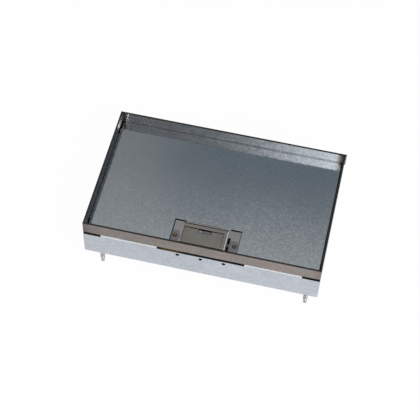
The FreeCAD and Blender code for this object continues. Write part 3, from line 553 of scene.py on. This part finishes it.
def tubTint(tree, spot, colour):
    t = tubMarks
    place = axes(tree, spot)
    fromMiddle = sizeOf(tree, place[0])
    edge = byPlace(tree, fromMiddle, t["corner"], ease=True, base=halfX)
    wall = byPlace(tree, sizeOf(tree, place[1]), t["wall"], base=halfY)
    leftward = byPlace(tree, place[0], t["leftward"], *t["leftShares"])
    colour = mixColour(tree, times(tree, times(tree, edge, wall), leftward), colour, t["weld"])
    # the colour darkens towards the left
    colour = mixColour(tree, remap(tree, place[0], (-halfX, halfX), t["darkerLeftmost"], 0), colour, t["darkerLeft"])
    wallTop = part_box("tub_wall_front")[1].z
    # painted shade: the wall's top edge darkens at the slots under the rim
    lip = times(tree, slotSpans(tree, place), byPlace(tree, place[2], t["lip"], base=wallTop))
    # painted shade: dark rings around the three tie holes of the front wall
    beside = lower(tree, fromMiddle, sizeOf(tree, minus(tree, fromMiddle, t["holePitch"] * mm)))
    rise = minus(tree, place[2], wallTop - t["holeDrop"] * mm)
    away = compute(tree, "SQRT", plus(tree, times(tree, beside, beside), times(tree, rise, rise)))
    front = byPlace(tree, place[1], t["holeWall"], base=-halfY)
    darkEdging = times(tree, byPlace(tree, away, t["holeRing"]), front)
    return mixColour(tree, higher(tree, lip, darkEdging), colour, t["dark"])


# the flap's thumb recess, with painted shade on its floor, at its ends and at its front, and a painted
# highlight near its left end; mm from the middle of the flap, its back edge and its top
recessMarks = {
    "halfWidth": (11.2, 11.0), "below": (-0.15, -0.4), "front": (-7.2, -6.8),
    "ends": (8.6, 10.4), "lip": (-3.5, -6.3), "lipShare": 0.8, "glintX": -8.2, "glintY": -2.5,
    "glintWide": (1.9, 0.8), "glintLong": (1.8, 0.7),
    "floor": (0.31, 0.315, 0.34), "darkening": (0.10, 0.10, 0.11), "paintedGlint": (0.95, 0.96, 0.98),
}


def recessTint(tree, spot, colour):
    r = recessMarks
    flapTop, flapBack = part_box("outlet_flap")[1].z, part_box("outlet_flap")[1].y
    place = axes(tree, spot)
    across = sizeOf(tree, place[0])
    below = byPlace(tree, place[2], r["below"], base=flapTop)
    inside = times(tree, byPlace(tree, across, r["halfWidth"]), below)
    inside = times(tree, inside, byPlace(tree, place[1], r["front"], base=flapBack))
    ends = byPlace(tree, across, r["ends"], ease=True)
    lip = byPlace(tree, place[1], r["lip"], 0, r["lipShare"], True, base=flapBack)
    # painted shade: darker at the recess's ends and front
    darkening = mixColour(tree, higher(tree, ends, lip), r["floor"], r["darkening"])
    # painted highlight: a bright spot near the recess's left end
    fromGlintX = sizeOf(tree, minus(tree, place[0], r["glintX"] * mm))
    fromGlintY = sizeOf(tree, minus(tree, place[1], flapBack + r["glintY"] * mm))
    paintedGlint = times(tree, byPlace(tree, fromGlintX, r["glintWide"], ease=True),
                 byPlace(tree, fromGlintY, r["glintLong"], ease=True))
    return mixColour(tree, inside, colour, mixColour(tree, paintedGlint, darkening, r["paintedGlint"]))


# the outlet's top: painted highlights along the side edges, painted shade along the back edge; mm from the
# outlet's top, side and back
outletMarks = {"top": (-2.0, -1.5), "sides": (-1.3, -0.8), "back": (-3.3, -2.7),
               "paintedHighlight": (0.80, 0.77, 0.74), "dark": (0.02, 0.019, 0.018)}
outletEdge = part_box("outlet_box")[1]


def outletTint(tree, spot, colour):
    o = outletMarks
    place = axes(tree, spot)
    top = byPlace(tree, place[2], o["top"], base=outletEdge.z)
    sides = byPlace(tree, sizeOf(tree, place[0]), o["sides"], base=outletEdge.x)
    back = byPlace(tree, place[1], o["back"], base=outletEdge.y)
    colour = mixColour(tree, times(tree, sides, top), colour, o["paintedHighlight"])
    return mixColour(tree, times(tree, back, top), colour, o["dark"])


# painted shade in the corner between the ledge plate and the outlet; mm from the outlet's side and back
footMarks = {"side": (1.7, 1.3), "back": (-0.4, -0.8), "cornerShade": (0.03, 0.03, 0.03)}


def footTint(tree, spot, colour):
    f = footMarks
    place = axes(tree, spot)
    beside = byPlace(tree, sizeOf(tree, place[0]), f["side"], base=outletEdge.x)
    before = byPlace(tree, place[1], f["back"], base=outletEdge.y)
    return mixColour(tree, times(tree, beside, before), colour, f["cornerShade"])


traySheet = zincMaterial("tray zinc", (0.505, 0.55, 0.575), (0.655, 0.70, 0.725), **smoothZinc)
# a darker copy of the tray zinc, as painted shade of the gap at the tray's back
shadedStripZinc = zincMaterial("strip zinc shaded", (0.36, 0.39, 0.41), (0.46, 0.49, 0.51), **smoothZinc)
tubSheet = zincMaterial("tub zinc", (0.43, 0.46, 0.51), (0.58, 0.615, 0.675), **dullZinc, patch=0.25,
                        tint=tubTint)
seatSheet = zincMaterial("seat zinc", (0.60, 0.63, 0.67), (0.74, 0.77, 0.80), **dullZinc, patch=0.18)
rimSteel = rimMaterial("rim steel")
outletSteel = brushedMaterial("outlet steel", (0.40, 0.365, 0.335), (0.54, 0.49, 0.45), "X", (0.2, 0.3),
                              outletTint)
flapSteel = brushedMaterial("flap steel", (0.33, 0.31, 0.27), (0.46, 0.43, 0.38), "X", (0.22, 0.32),
                            recessTint)
carrierSteel = brushedMaterial("carrier steel", (0.46, 0.44, 0.43), (0.60, 0.575, 0.56), "X", (0.28, 0.4),
                               footTint)
clampSteel = brushedMaterial("clamp steel", (0.27, 0.262, 0.262), (0.39, 0.377, 0.372), "Y", (0.28, 0.4))
weldSteel = plainMetal("weld bead", (0.06, 0.052, 0.048), (0.17, 0.155, 0.145), (0.3, 0.5), 260)
brightZinc = plainMetal("bright zinc", (0.68, 0.69, 0.71), (0.82, 0.83, 0.84), (0.18, 0.3))
# a darker copy of the bright zinc, as painted shade: it stands in for the darker surroundings that the
# levelling screws mirror
shadedScrewZinc = plainMetal("screw zinc shaded", (0.28, 0.285, 0.29), (0.50, 0.505, 0.51), (0.22, 0.34), 220)
brass = plainMetal("brass", (0.50, 0.33, 0.15), (0.66, 0.46, 0.22), (0.25, 0.4), 200)
agedBrass = plainMetal("aged brass", (0.25, 0.19, 0.13), (0.36, 0.275, 0.19), (0.3, 0.45), 300)
# painted shade of the gap around the clamp screws' heads
gapShade = plainMetal("brass gap shade", (0.06, 0.042, 0.026), (0.12, 0.085, 0.055), (0.35, 0.5), 400)
whitePlastic = mouldedMaterial("white plastic", (0.82, 0.82, 0.80), (0.87, 0.87, 0.855), (0.28, 0.38),
                               3000, 0.05)
darkPlastic = mouldedMaterial("dark plastic", (0.035, 0.035, 0.04), (0.05, 0.05, 0.055), (0.4, 0.55))
greyPlastic = mouldedMaterial("grey plastic", (0.32, 0.33, 0.34), (0.38, 0.39, 0.40), (0.42, 0.55))
blackRubber = mouldedMaterial("black rubber", (0.02, 0.02, 0.021), (0.035, 0.035, 0.036), (0.7, 0.85),
                              1300, 0.5)

finishes = {
    "base_tub": tubSheet, "tub_wall_front": tubSheet, "tub_wall_back": tubSheet,
    "seat_bars_front": seatSheet, "seat_bars_back": seatSheet, "seat_bar_left": seatSheet,
    "seat_bar_right": seatSheet,
    "socket_bracket": tubSheet, "partition_plate": tubSheet,
    "lid_tray": traySheet, "lid_stiffener_front": tubSheet, "lid_stiffener_back": tubSheet,
    "outlet_carrier": carrierSteel, "outlet_clamp_left": clampSteel, "outlet_clamp_right": clampSteel,
    "rim_bar_front": rimSteel, "rim_bar_back": rimSteel, "rim_bar_left": rimSteel, "rim_bar_right": rimSteel,
    "outlet_box": outletSteel, "outlet_flap": flapSteel, "hinge_pin": brightZinc,
    "levelling_weld_nuts": brightZinc, "levelling_lock_nuts": brightZinc, "foot_screws": brightZinc,
    "clamp_nuts": brightZinc, "earth_nuts": brightZinc, "earth_clips": brightZinc,
    "outlet_screws": brass, "terminal_screws": brass, "contact_sleeves": brass, "earth_stud": brass,
    "data_module": whitePlastic, "blank_module": whitePlastic, "data_jacks": darkPlastic,
    "terminal_block": greyPlastic, "lid_seal": blackRubber, "cutout_seal": blackRubber,
    "flap_foam": blackRubber, "flap_buffers": blackRubber,
}
for corner in ("fl", "fr", "bl", "br"):
    finishes["levelling_screw_" + corner] = brightZinc
for number in range(1, 5):
    finishes[f"power_socket_{number}"] = whitePlastic
for name, node in nodes.items():
    node.data.materials.clear()
    node.data.materials.append(finishes[name])
print("materials set")


# the CAD solids, dressed with eased edges; widths in mm
easedEdges = {
    "rim_bar_front": 0.3, "rim_bar_back": 0.3, "rim_bar_left": 0.3, "rim_bar_right": 0.3, "lid_tray": 0.3,
    "seat_bars_front": 0.3, "seat_bars_back": 0.3, "seat_bar_left": 0.3, "seat_bar_right": 0.3,
    "lid_stiffener_front": 0.25, "lid_stiffener_back": 0.25, "base_tub": 0.12, "tub_wall_front": 0.12,
    "tub_wall_back": 0.15, "socket_bracket": 0.12, "partition_plate": 0.12, "outlet_carrier": 0.15,
    "outlet_clamp_left": 0.1, "outlet_clamp_right": 0.1, "outlet_box": 0.06, "outlet_flap": 0.12,
    "power_socket_1": 0.15, "power_socket_2": 0.15, "power_socket_3": 0.15, "power_socket_4": 0.15,
    "data_module": 0.2, "blank_module": 0.25, "data_jacks": 0.2, "terminal_block": 0.12,
    "contact_sleeves": 0.12, "earth_clips": 0.2, "lid_seal": 0.15, "cutout_seal": 0.2, "flap_foam": 0.3,
    "flap_buffers": 0.15,
}
for node, width in easedEdges.items():
    settle(easedCopy(node, width * mm), nodes[node]["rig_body"], slotOf[node], None, node)
print("solids dressed:", len(easedEdges))


# a thread's ridge: how deep its foot is sunk in mm, and its corners as shares of the pitch
ridge = {"sunk": 0.15, "crestFrom": 0.42, "crestTo": 0.56, "footTo": 0.98}


def thread(name, place, root, crest, low, high, pitch, steps=20):
    foot = root - ridge["sunk"] * mm
    coil = drawProfile([(foot, low), (crest, low + pitch * ridge["crestFrom"]),
                        (crest, low + pitch * ridge["crestTo"]), (foot, low + pitch * ridge["footTo"])])
    bpy.ops.mesh.edge_face_add()
    bpy.ops.mesh.delete(type="ONLY_FACE")
    leaveEdit()
    turns = int((high - low) / pitch) - 1
    finish(coil, "SCREW", axis="Z", screw_offset=pitch, iterations=turns, steps=steps, render_steps=steps,
           use_smooth_shade=True)
    editAll(coil)
    bpy.ops.mesh.fill_holes(sides=8)
    bpy.ops.mesh.normals_make_consistent(inside=False)
    leaveEdit()
    coil.data.transform(Matrix.Translation((place[0], place[1], 0)))
    coil.name = name
    return coil


levellingScrew = {   # mm
    "crest": 4.0, "root": 3.3, "pitch": 1.25, "point": 3.2, "pointEase": 0.6, "pointLength": 10,
    "collarDrop": 0.1, "collarFrom": 0.7, "collarTo": 1.1, "neck": 1.5, "threadFrom": 1.2, "threadDrop": 0.2,
    "topEase": 0.3, "socketAcross": 4, "socketDepth": 4,
}


def makeLevellingScrews():
    s = {key: value * mm for key, value in levellingScrew.items()}
    low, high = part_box("levelling_screw_fl")
    place = ((low.x + high.x) / 2, (low.y + high.y) / 2)
    point, root, collar = s["point"], s["root"], s["crest"] - s["collarDrop"]
    top, shoulder = high.z, low.z + s["pointLength"]
    core = turnedPiece("levelling_rod", place, [
        (0, low.z), (point - s["pointEase"], low.z), (point, low.z + s["pointEase"]), (point, shoulder),
        (collar, shoulder + s["collarFrom"]), (collar, shoulder + s["collarTo"]),
        (root, shoulder + s["neck"]), (root, top - s["topEase"]), (root - s["topEase"], top), (0, top)])
    deselect()
    hexagonRadius = s["socketAcross"] / 1.732
    bpy.ops.mesh.primitive_cylinder_add(vertices=6, radius=hexagonRadius, depth=2 * s["socketDepth"],
                                        location=(*place, top))
    core = smooth(combine(core, bake("socket")))
    coil = thread("levelling_thread", place, root, s["crest"], shoulder + s["threadFrom"],
                  top - s["threadDrop"], s["pitch"])
    screw = joinAll("levelling_screw_fl_threaded", [core, coil])
    for corner in ("fr", "bl", "br"):
        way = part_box("levelling_screw_" + corner)[0] - low
        twin = copyOf(screw, f"levelling_screw_{corner}_threaded", way)
        settle(twin, "levelling_" + corner, "bright_zinc", shadedScrewZinc, "levelling_screw_" + corner)
    settle(screw, "levelling_fl", "bright_zinc", shadedScrewZinc, "levelling_screw_fl")


# a nut's turned faces, as shares of its radii
nutShape = {"flat": 0.866, "face": 0.95, "corner": 1.04, "slope": 0.577, "lip": 0.16}
nutBores = {"levelling_weld_nuts": 4.08, "levelling_lock_nuts": 4.08, "clamp_nuts": 2.05}   # mm


# a hexagon nut with turned chamfers; place is the centre of its lower face
def hexNut(name, place, cornerRadius, height, bore):
    n = nutShape
    x, y, z = place
    deselect()
    bpy.ops.mesh.primitive_cylinder_add(vertices=6, radius=cornerRadius, depth=height,
                                        location=(x, y, z + height / 2), rotation=(0, 0, math.pi / 6))
    blank = bake(name)
    face, corner = cornerRadius * n["flat"] * n["face"], cornerRadius * n["corner"]
    rise = (corner - face) * n["slope"]
    cone = turnedPiece("chamfer", place, [(0, z), (face, z), (corner, z + rise), (corner, z + height - rise),
                                          (face, z + height), (0, z + height)], steps=48)
    blank = combine(blank, cone, "INTERSECT")
    lip = bore * n["lip"]
    wide = bore + lip + mm
    hole = turnedPiece("bore", place, [(0, z - mm), (wide, z - mm), (bore, z + lip), (bore, z + height - lip),
                                       (wide, z + height + mm), (0, z + height + mm)], steps=32)
    return smooth(combine(blank, hole), degrees=30)


def makeNuts():
    for node, bore in nutBores.items():
        centre, foot, top, radius, ways = firstSolid(node)
        first = hexNut(node + "_first", (*centre, foot), radius, top - foot, bore * mm)
        nuts = joinAll(node + "_chamfered", repeat(first, ways))
        settle(nuts, nodes[node]["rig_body"], "bright_zinc", brightZinc, node)


def slotCut(screw, centre, top, shape):
    x, y = centre
    width, depth, reach = (shape[key] * mm for key in ("slotWidth", "slotDepth", "slotReach"))
    tool = addBlock("slot", (x - reach, y - width / 2, top - depth), (x + reach, y + width / 2, top + mm))
    return smooth(combine(screw, tool))


# countersunk brass screws of the clamp plates: bright dished centre, and a dark rim painted as the shade of
# the gap around the head
clampScrew = {   # mm
    "tip": 1.5, "tipEase": 0.45, "shank": 1.95, "neckDrop": 1.9, "centreDrop": 0.45, "gapShade": 1.4,
    "slotWidth": 0.8, "slotDepth": 0.85, "slotReach": 2.6,
    # in from the edge and down from the top
    "head": [(0.7, 1.35), (0.06, 0.25), (0.3, 0.04), (0.85, 0), (1.5, 0.22)],
}


def makeClampScrews():
    s = clampScrew
    centre, foot, top, head, ways = firstSolid("outlet_screws")
    shank, rim = s["shank"] * mm, s["gapShade"] * mm
    screw = turnedPiece("outlet_screw", centre, [
        (0, foot), (s["tip"] * mm, foot), (shank, foot + s["tipEase"] * mm),
        (shank, top - s["neckDrop"] * mm),
        *((head - inset * mm, top - drop * mm) for inset, drop in s["head"]),
        (0, top - s["centreDrop"] * mm)], steps=48)
    slotCut(screw, centre, top, s)
    screw.data.materials.append(agedBrass)
    screw.data.materials.append(gapShade)
    # faces near the head's edge take the painted gap shade
    for face in screw.data.polygons:
        away = math.hypot(face.center.x - centre[0], face.center.y - centre[1])
        face.material_index = 1 if away > head - rim and face.center.z > top - rim else 0
    settle(joinAll("outlet_screws_slotted", repeat(screw, ways)), "lid", "brass", None, "outlet_screws")


# pan-head screws of the bracket and the partition
footScrew = {   # mm
    "shank": 1.9, "headHeight": 2.4, "crown": 2.0, "crownDrop": 0.05,
    "slotWidth": 0.9, "slotDepth": 1.2, "slotReach": 6,
    # in from the edge and up from the seat
    "head": [(0.15, 0), (0, 0.2), (0, 0.9), (0.25, 1.5), (0.9, 2.1)],
}


def makeFootScrews():
    s = footScrew
    centre, foot, top, head, ways = firstSolid("foot_screws")
    shank, seat = s["shank"] * mm, top - s["headHeight"] * mm
    screw = turnedPiece("foot_screw", centre, [
        (0, foot), (shank, foot), (shank, seat),
        *((head - inset * mm, seat + rise * mm) for inset, rise in s["head"]),
        (head - s["crown"] * mm, top - s["crownDrop"] * mm), (0, top)])
    slotCut(screw, centre, top, s)
    screws = joinAll("foot_screws_panhead", repeat(screw, ways))
    settle(screws, "box", "bright_zinc", brightZinc, "foot_screws")


terminalScrew = {"ease": 0.3, "slotWidth": 0.7, "slotDepth": 0.6, "slotReach": 6}   # mm


def makeTerminalScrews():
    s = terminalScrew
    centre, foot, top, head, ways = firstSolid("terminal_screws")
    ease = s["ease"] * mm
    screw = turnedPiece("terminal_screw", centre, [
        (0, foot), (head, foot), (head, top - ease), (head - ease, top), (0, top)], steps=32)
    slotCut(screw, centre, top, s)
    settle(joinAll("terminal_screws_slotted", repeat(screw, ways)), "box", "brass", brass, "terminal_screws")


earthStud = {   # mm
    "root": 2.45, "crest": 3, "pitch": 1, "point": 1.9, "pointEase": 0.5,
    "threadFrom": 0.1, "threadDrop": 0.2,
    "secondNut": 6.2, "nutHeight": 5, "nutRadius": 5.7, "nutBore": 3.06,
    "washerInner": 3.2, "washerOuter": 6, "washerThick": 1.2, "washerEase": 0.2,
}


def makeEarthStud():
    s = {key: value * mm for key, value in earthStud.items()}
    low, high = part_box("earth_stud")
    place = ((low.x + high.x) / 2, (low.y + high.y) / 2)
    root, height = s["root"], s["nutHeight"]
    core = smooth(turnedPiece("earth_rod", place, [
        (0, low.z), (root, low.z), (root, high.z - s["pointEase"]), (s["point"], high.z), (0, high.z)],
        steps=32))
    coil = thread("earth_thread", place, root, s["crest"], low.z + s["threadFrom"],
                  high.z - s["threadDrop"], s["pitch"], steps=18)
    settle(joinAll("earth_stud_threaded", [core, coil]), "box", "brass", brass, "earth_stud")
    pieces = [hexNut("earth_nut", (*place, low.z + level), s["nutRadius"], height, s["nutBore"])
              for level in (0, s["secondNut"])]
    inner, outer, ease = s["washerInner"], s["washerOuter"], s["washerEase"]
    z, top = low.z + height, low.z + height + s["washerThick"]
    pieces.append(turnedPiece("earth_washer", place, [
        (inner, z), (outer - ease, z), (outer, z + ease), (outer, top - ease), (outer - ease, top),
        (inner, top), (inner, z)]))
    settle(joinAll("earth_nuts_chamfered", pieces), "box", "bright_zinc", brightZinc, "earth_nuts")


hingePin = {"endRadius": 0.6, "endRise": 0.15, "domeLength": 0.7}   # share of the radius, mm, mm


def makeHingePin():
    low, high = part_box("hinge_pin")
    radius, half = (high.y - low.y) / 2, (high.x - low.x) / 2
    end, rise, dome = radius * hingePin["endRadius"], hingePin["endRise"] * mm, hingePin["domeLength"] * mm
    pin = lathe("hinge_pin_domed", [(0, -half), (end, -half + rise), (radius, -half + dome),
                                    (radius, half - dome), (end, half - rise), (0, half)], steps=32)
    pin.rotation_euler = (0, math.pi / 2, 0)
    pin.location = (low + high) / 2
    pick(pin)
    bake("hinge_pin_domed")
    smooth(pin, degrees=40)
    settle(pin, "outlet", "bright_zinc", brightZinc, "hinge_pin")


makeLevellingScrews()
makeNuts()
makeClampScrews()
makeFootScrews()
makeTerminalScrews()
makeEarthStud()
makeHingePin()
print("threads, nuts and screws made")


# a weld bead stands in each inner corner of the rim; waist and tip are shares of the radius
weld = {"radius": 0.8, "step": 1.1, "inset": 0.3, "foot": 1.0, "shorter": 2.2,   # mm
        "waist": 0.84, "tip": 0.3}


def makeWelds():
    radius, step, inset = (weld[key] * mm for key in ("radius", "step", "inset"))
    low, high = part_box("rim_bar_left")
    innerX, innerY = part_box("rim_bar_front")[1].x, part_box("rim_bar_back")[0].y
    rings = int((high.z - low.z - weld["shorter"] * mm) / step)
    waist, tip = radius * weld["waist"], radius * weld["tip"]
    profile = [(0, -tip)]
    for ring in range(rings):
        profile += [(waist, ring * step), (radius, (ring + 0.5) * step)]
    profile += [(waist, rings * step), (0, rings * step + tip)]
    first = lathe("rim_weld", profile, steps=14)
    first.location = (inset - innerX, inset - innerY, low.z + weld["foot"] * mm)
    pick(first)
    smooth(bake("rim_weld"), degrees=60)
    rightWay, backWay = 2 * (innerX - inset), 2 * (innerY - inset)
    beads = repeat(first, ((rightWay, 0, 0), (0, backWay, 0), (rightWay, backWay, 0)))
    settle(joinAll("rim_weld_beads", beads), "box", "stainless", weldSteel)


makeWelds()
print("welds made")


# near-black strips pressed into the slots under the rim, as painted shade that turns the slots black
slotShadeFill = {"thick": 3.0, "setBack": 0.2, "gap": 0.1, "ease": 0.3}   # mm
shadeFillLook = {   # places in mm
    "pores": 1500, "relief": 0.5, "depth": 0.2, "gloss": (0.8, 0.95),
    "dark": (0.002, 0.002, 0.0022), "light": (0.009, 0.009, 0.010), "yellowTint": (0.10, 0.062, 0.006),
    "yellowTintFade": (-28, -46), "yellowTintEnd": (70, 60), "yellowTintFront": (-100, -110), "yellowTintCover": 0.8,
}


def shadeFillMaterial():
    f = shadeFillLook
    mat, tree, shader = newMaterial("slot shade fill", Specular_IOR_Level=0.05)
    spot = objectCoords(tree)
    place = axes(tree, spot)
    pores = noise(tree, spot, f["pores"], roughness=0.6)
    colour = mixColour(tree, pores, f["dark"], f["light"])
    # a yellow-brown tint at the left end of the long front strip
    yellowTint = times(tree, byPlace(tree, place[0], f["yellowTintFade"], ease=True),
                 byPlace(tree, sizeOf(tree, place[0]), f["yellowTintEnd"], ease=True))
    yellowTint = times(tree, yellowTint, byPlace(tree, place[1], f["yellowTintFront"]))
    dress(tree, shader, mixColour(tree, times(tree, yellowTint, f["yellowTintCover"]), colour, f["yellowTint"]),
          remap(tree, pores, midTones, *f["gloss"]))
    bump(tree, shader, pores, f["relief"], f["depth"])
    return mat


def makeSlotShadeFill():
    gap, back, thick = (slotShadeFill[key] * mm for key in ("gap", "setBack", "thick"))
    bottom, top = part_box("tub_wall_front")[1].z + gap / 2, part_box("seat_bars_front")[1].z - gap / 2
    inX, inY = halfX - back - thick, halfY - back - thick
    spans = [(-inX, seatEnds[0]), (seatEnds[1], seatEnds[2]), (seatEnds[3], inX)]
    strips = []
    for side in (-1, 1):
        near, far = sorted((side * (halfY - back), side * inY))
        for left, right in spans:
            strips.append(addBlock("shade_fill", (left + gap, near, bottom), (right - gap, far, top)))
        for end in (-1, 1):
            left, right = sorted((side * (halfX - back), side * inX))
            near, far = sorted((end * (seatSideEnd + gap), end * (halfY - back)))
            strips.append(addBlock("shade_fill", (left, near, bottom), (right, far, top)))
    for strip in strips:
        soften(strip, slotShadeFill["ease"] * mm)
    settle(joinAll("slot_shade_fill_strips", strips), "box", "black_rubber", shadeFillMaterial())


makeSlotShadeFill()
print("slot shade fill made")


# a zinc strip stands on the back seat bar and keeps the tray off the rim, and rubber strips do so at the
# sides; the zinc strip is darker than the tray, as painted shade of the gap it fills
trayStrips = {   # mm
    "clearance": 0.15, "rimGap": 0.05, "drop": 0.2, "endGap": 3, "sideDrop": 1.0, "ease": 0.12,
}


def makeTrayStrips():
    s = {key: value * mm for key, value in trayStrips.items()}
    trayLow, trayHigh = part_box("lid_tray")
    foot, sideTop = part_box("seat_bars_back")[1].z, trayHigh.z - s["sideDrop"]
    low = (trayLow.x + s["endGap"], trayHigh.y + s["clearance"], foot)
    high = (trayHigh.x - s["endGap"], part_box("rim_bar_back")[0].y - s["rimGap"], trayHigh.z - s["drop"])
    settle(soften(addBlock("tray_stop_strip", low, high), s["ease"]), "box", "galvanised", shadedStripZinc)
    innerFace = -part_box("rim_bar_left")[1].x
    sides = []
    for side in (-1, 1):
        near, far = sorted((side * (s["clearance"] - trayLow.x), side * (innerFace - s["rimGap"])))
        block = addBlock("rubber", (near, -seatSideEnd, foot), (far, seatSideEnd, sideTop))
        sides.append(soften(block, s["ease"]))
    settle(joinAll("tray_side_strips", sides), "box", "black_rubber", blackRubber)


makeTrayStrips()
print("tray strips made")


# floor, light and camera
floorLook = {"size": 40, "drop": 0.0005,   # metres
             "grey": 0.9, "rough": 0.9, "glow": 0.96}


def makeFloor():
    f = floorLook
    deselect()
    bpy.ops.mesh.primitive_plane_add(size=f["size"], location=(0, 0, -f["drop"]))
    floor = bpy.context.object
    floor.name = "floor"
    mat, tree, shader = newMaterial("pale floor", Roughness=f["rough"], Base_Color=(*[f["grey"]] * 3, 1))
    glow = addNode(tree, "ShaderNodeEmission", Color=(1, 1, 1, 1), Strength=1.0)
    path = addNode(tree, "ShaderNodeLightPath")
    seen = plus(tree, path.outputs["Is Camera Ray"], path.outputs["Is Glossy Ray"])
    seen = plus(tree, seen, path.outputs["Is Transmission Ray"])
    mix = addNode(tree, "ShaderNodeMixShader")
    tree.links.new(times(tree, lower(tree, seen, 1.0), f["glow"]), mix.inputs[0])
    tree.links.new(shader.outputs[0], mix.inputs[1])
    tree.links.new(glow.outputs[0], mix.inputs[2])
    tree.links.new(mix.outputs[0], tree.nodes["Material Output"].inputs["Surface"])
    floor.data.materials.append(mat)


# the room as the steel mirrors it: places along a direction of length one, and their brightness
studio = {
    "back": [(0.0, 0.95), (0.15, 0.8), (0.45, 0.34), (0.7, 0.2), (0.78, 0.27), (0.82, 0.37), (0.835, 0.45),
             (0.93, 0.66), (1.0, 0.8)],
    "front": [(0.0, 0.95), (0.5, 0.6), (0.8, 0.4), (1.0, 0.8)],
    "frontPanel": [(0.0, 0.19), (0.1, 0.21), (0.155, 0.21), (0.19, 0.27), (0.227, 0.41), (0.245, 1.05),
                   (0.263, 1.5), (0.3, 1.95), (0.41, 1.9), (0.5, 0.4)],
    "panelWidth": (-0.2, 0.4), "panelFoot": (0.55, 0.68), "panelTop": (0.92, 0.84),
    "dimTop": (0.832, 0.804), "dimLeft": (-0.185, -0.115), "dimWidth": (-0.12, 0.2),
    "dimCornerLeft": (0.02, 0.14), "dimCornerTop": (0.93, 0.87),
    "dim": [(0.0, (0.158, 0.186, 0.214)), (0.31, (0.165, 0.193, 0.222)), (1.0, (0.066, 0.080, 0.094))],
    "right": (0.35, 0.6), "rightLevel": 0.95, "left": (-0.5, -0.7), "leftLevel": 0.5, "turn": (-0.25, 0.25),
}


def grey(level):
    return (level, level * 1.01, level * 1.03)


def greyRamp(tree, value, stops):
    return ramp(tree, value, [(place, grey(level)) for place, level in stops])


def makeWorld():
    s = studio
    world = bpy.data.worlds.new("studio")
    bpy.context.scene.world = world
    world.use_nodes = True
    tree = world.node_tree
    sky = tree.nodes["Background"]
    way = axes(tree, addNode(tree, "ShaderNodeTexCoord").outputs["Generated"])
    back = greyRamp(tree, way[2], s["back"])
    # a dim corner of the room, behind and to the right of the camera's mirror image
    dimPart = times(tree, remap(tree, way[2], s["dimTop"], ease=True),
                    remap(tree, way[0], s["dimLeft"], ease=True))
    dimCorner = times(tree, remap(tree, way[0], s["dimCornerLeft"], ease=True),
                      remap(tree, way[2], s["dimCornerTop"], ease=True))
    dim = ramp(tree, remap(tree, way[0], s["dimWidth"]), s["dim"])
    back = mixColour(tree, higher(tree, dimPart, dimCorner), back, dim)
    # tall soft panels to the right and the left of it
    back = mixColour(tree, remap(tree, way[0], s["right"], ease=True), back, grey(s["rightLevel"]))
    back = mixColour(tree, remap(tree, way[0], s["left"], ease=True), back, grey(s["leftLevel"]))
    # a soft panel high in front, fading out to the left
    panel = greyRamp(tree, remap(tree, way[0], s["panelWidth"]), s["frontPanel"])
    height = times(tree, remap(tree, way[2], s["panelFoot"], ease=True),
                   remap(tree, way[2], s["panelTop"], ease=True))
    front = mixColour(tree, height, greyRamp(tree, way[2], s["front"]), panel)
    turned = remap(tree, way[1], s["turn"], ease=True)
    tree.links.new(mixColour(tree, turned, front, back), sky.inputs["Color"])
    sky.inputs["Strength"].default_value = 1.0


softboxes = {   # metres and watts
    "softbox right": {"place": (1.15, -1.55, 2.1), "size": (1.0, 1.4), "watts": 40},
    "softbox left": {"place": (-1.9, -0.9, 1.6), "size": (1.4, 1.4), "watts": 17},
}
lampAim = Vector((0, 0, 0.1))


def addLamp(name, place, size, watts):
    data = bpy.data.lights.new(name, "AREA")
    data.shape = "RECTANGLE"
    data.size, data.size_y = size
    data.energy = watts
    lamp = bpy.data.objects.new(name, data)
    bpy.context.scene.collection.objects.link(lamp)
    lamp.location = place
    lamp.rotation_euler = (lampAim - Vector(place)).to_track_quat("-Z", "Y").to_euler()


cameraSetup = {
    "azimuth": 10.698, "elevation": 54.79, "roll": 2.58,   # degrees
    "distance": 2093.05, "shiftX": -12.132, "shiftY": -36.879, "rimTop": 148.5,   # mm
    "lens": 106.63, "sensor": 36,   # mm
    "clipEnd": 100,   # metres
}


def makeCamera():
    c = cameraSetup
    azimuth, elevation, roll = (math.radians(c[key]) for key in ("azimuth", "elevation", "roll"))
    back = Vector((math.sin(azimuth) * math.cos(elevation), -math.cos(azimuth) * math.cos(elevation),
                   math.sin(elevation)))
    across = Vector((math.cos(azimuth), math.sin(azimuth), 0))
    up = back.cross(across)
    right = across * math.cos(roll) + up * math.sin(roll)
    up = -across * math.sin(roll) + up * math.cos(roll)
    place = right * c["shiftX"] + up * c["shiftY"] + back * c["distance"] + Vector((0, 0, c["rimTop"]))
    data = bpy.data.cameras.new("camera")
    data.lens, data.sensor_width, data.clip_end = c["lens"], c["sensor"], c["clipEnd"]
    camera = bpy.data.objects.new("camera", data)
    bpy.context.scene.collection.objects.link(camera)
    turn = Matrix((right, up, back)).transposed().to_4x4()
    camera.matrix_world = Matrix.Translation(place * mm) @ turn
    bpy.context.scene.camera = camera


makeFloor()
makeWorld()
for name, lamp in softboxes.items():
    addLamp(name, **lamp)
makeCamera()
bpy.context.scene.view_settings.view_transform = "Standard"
print("stage, lamps and camera set")
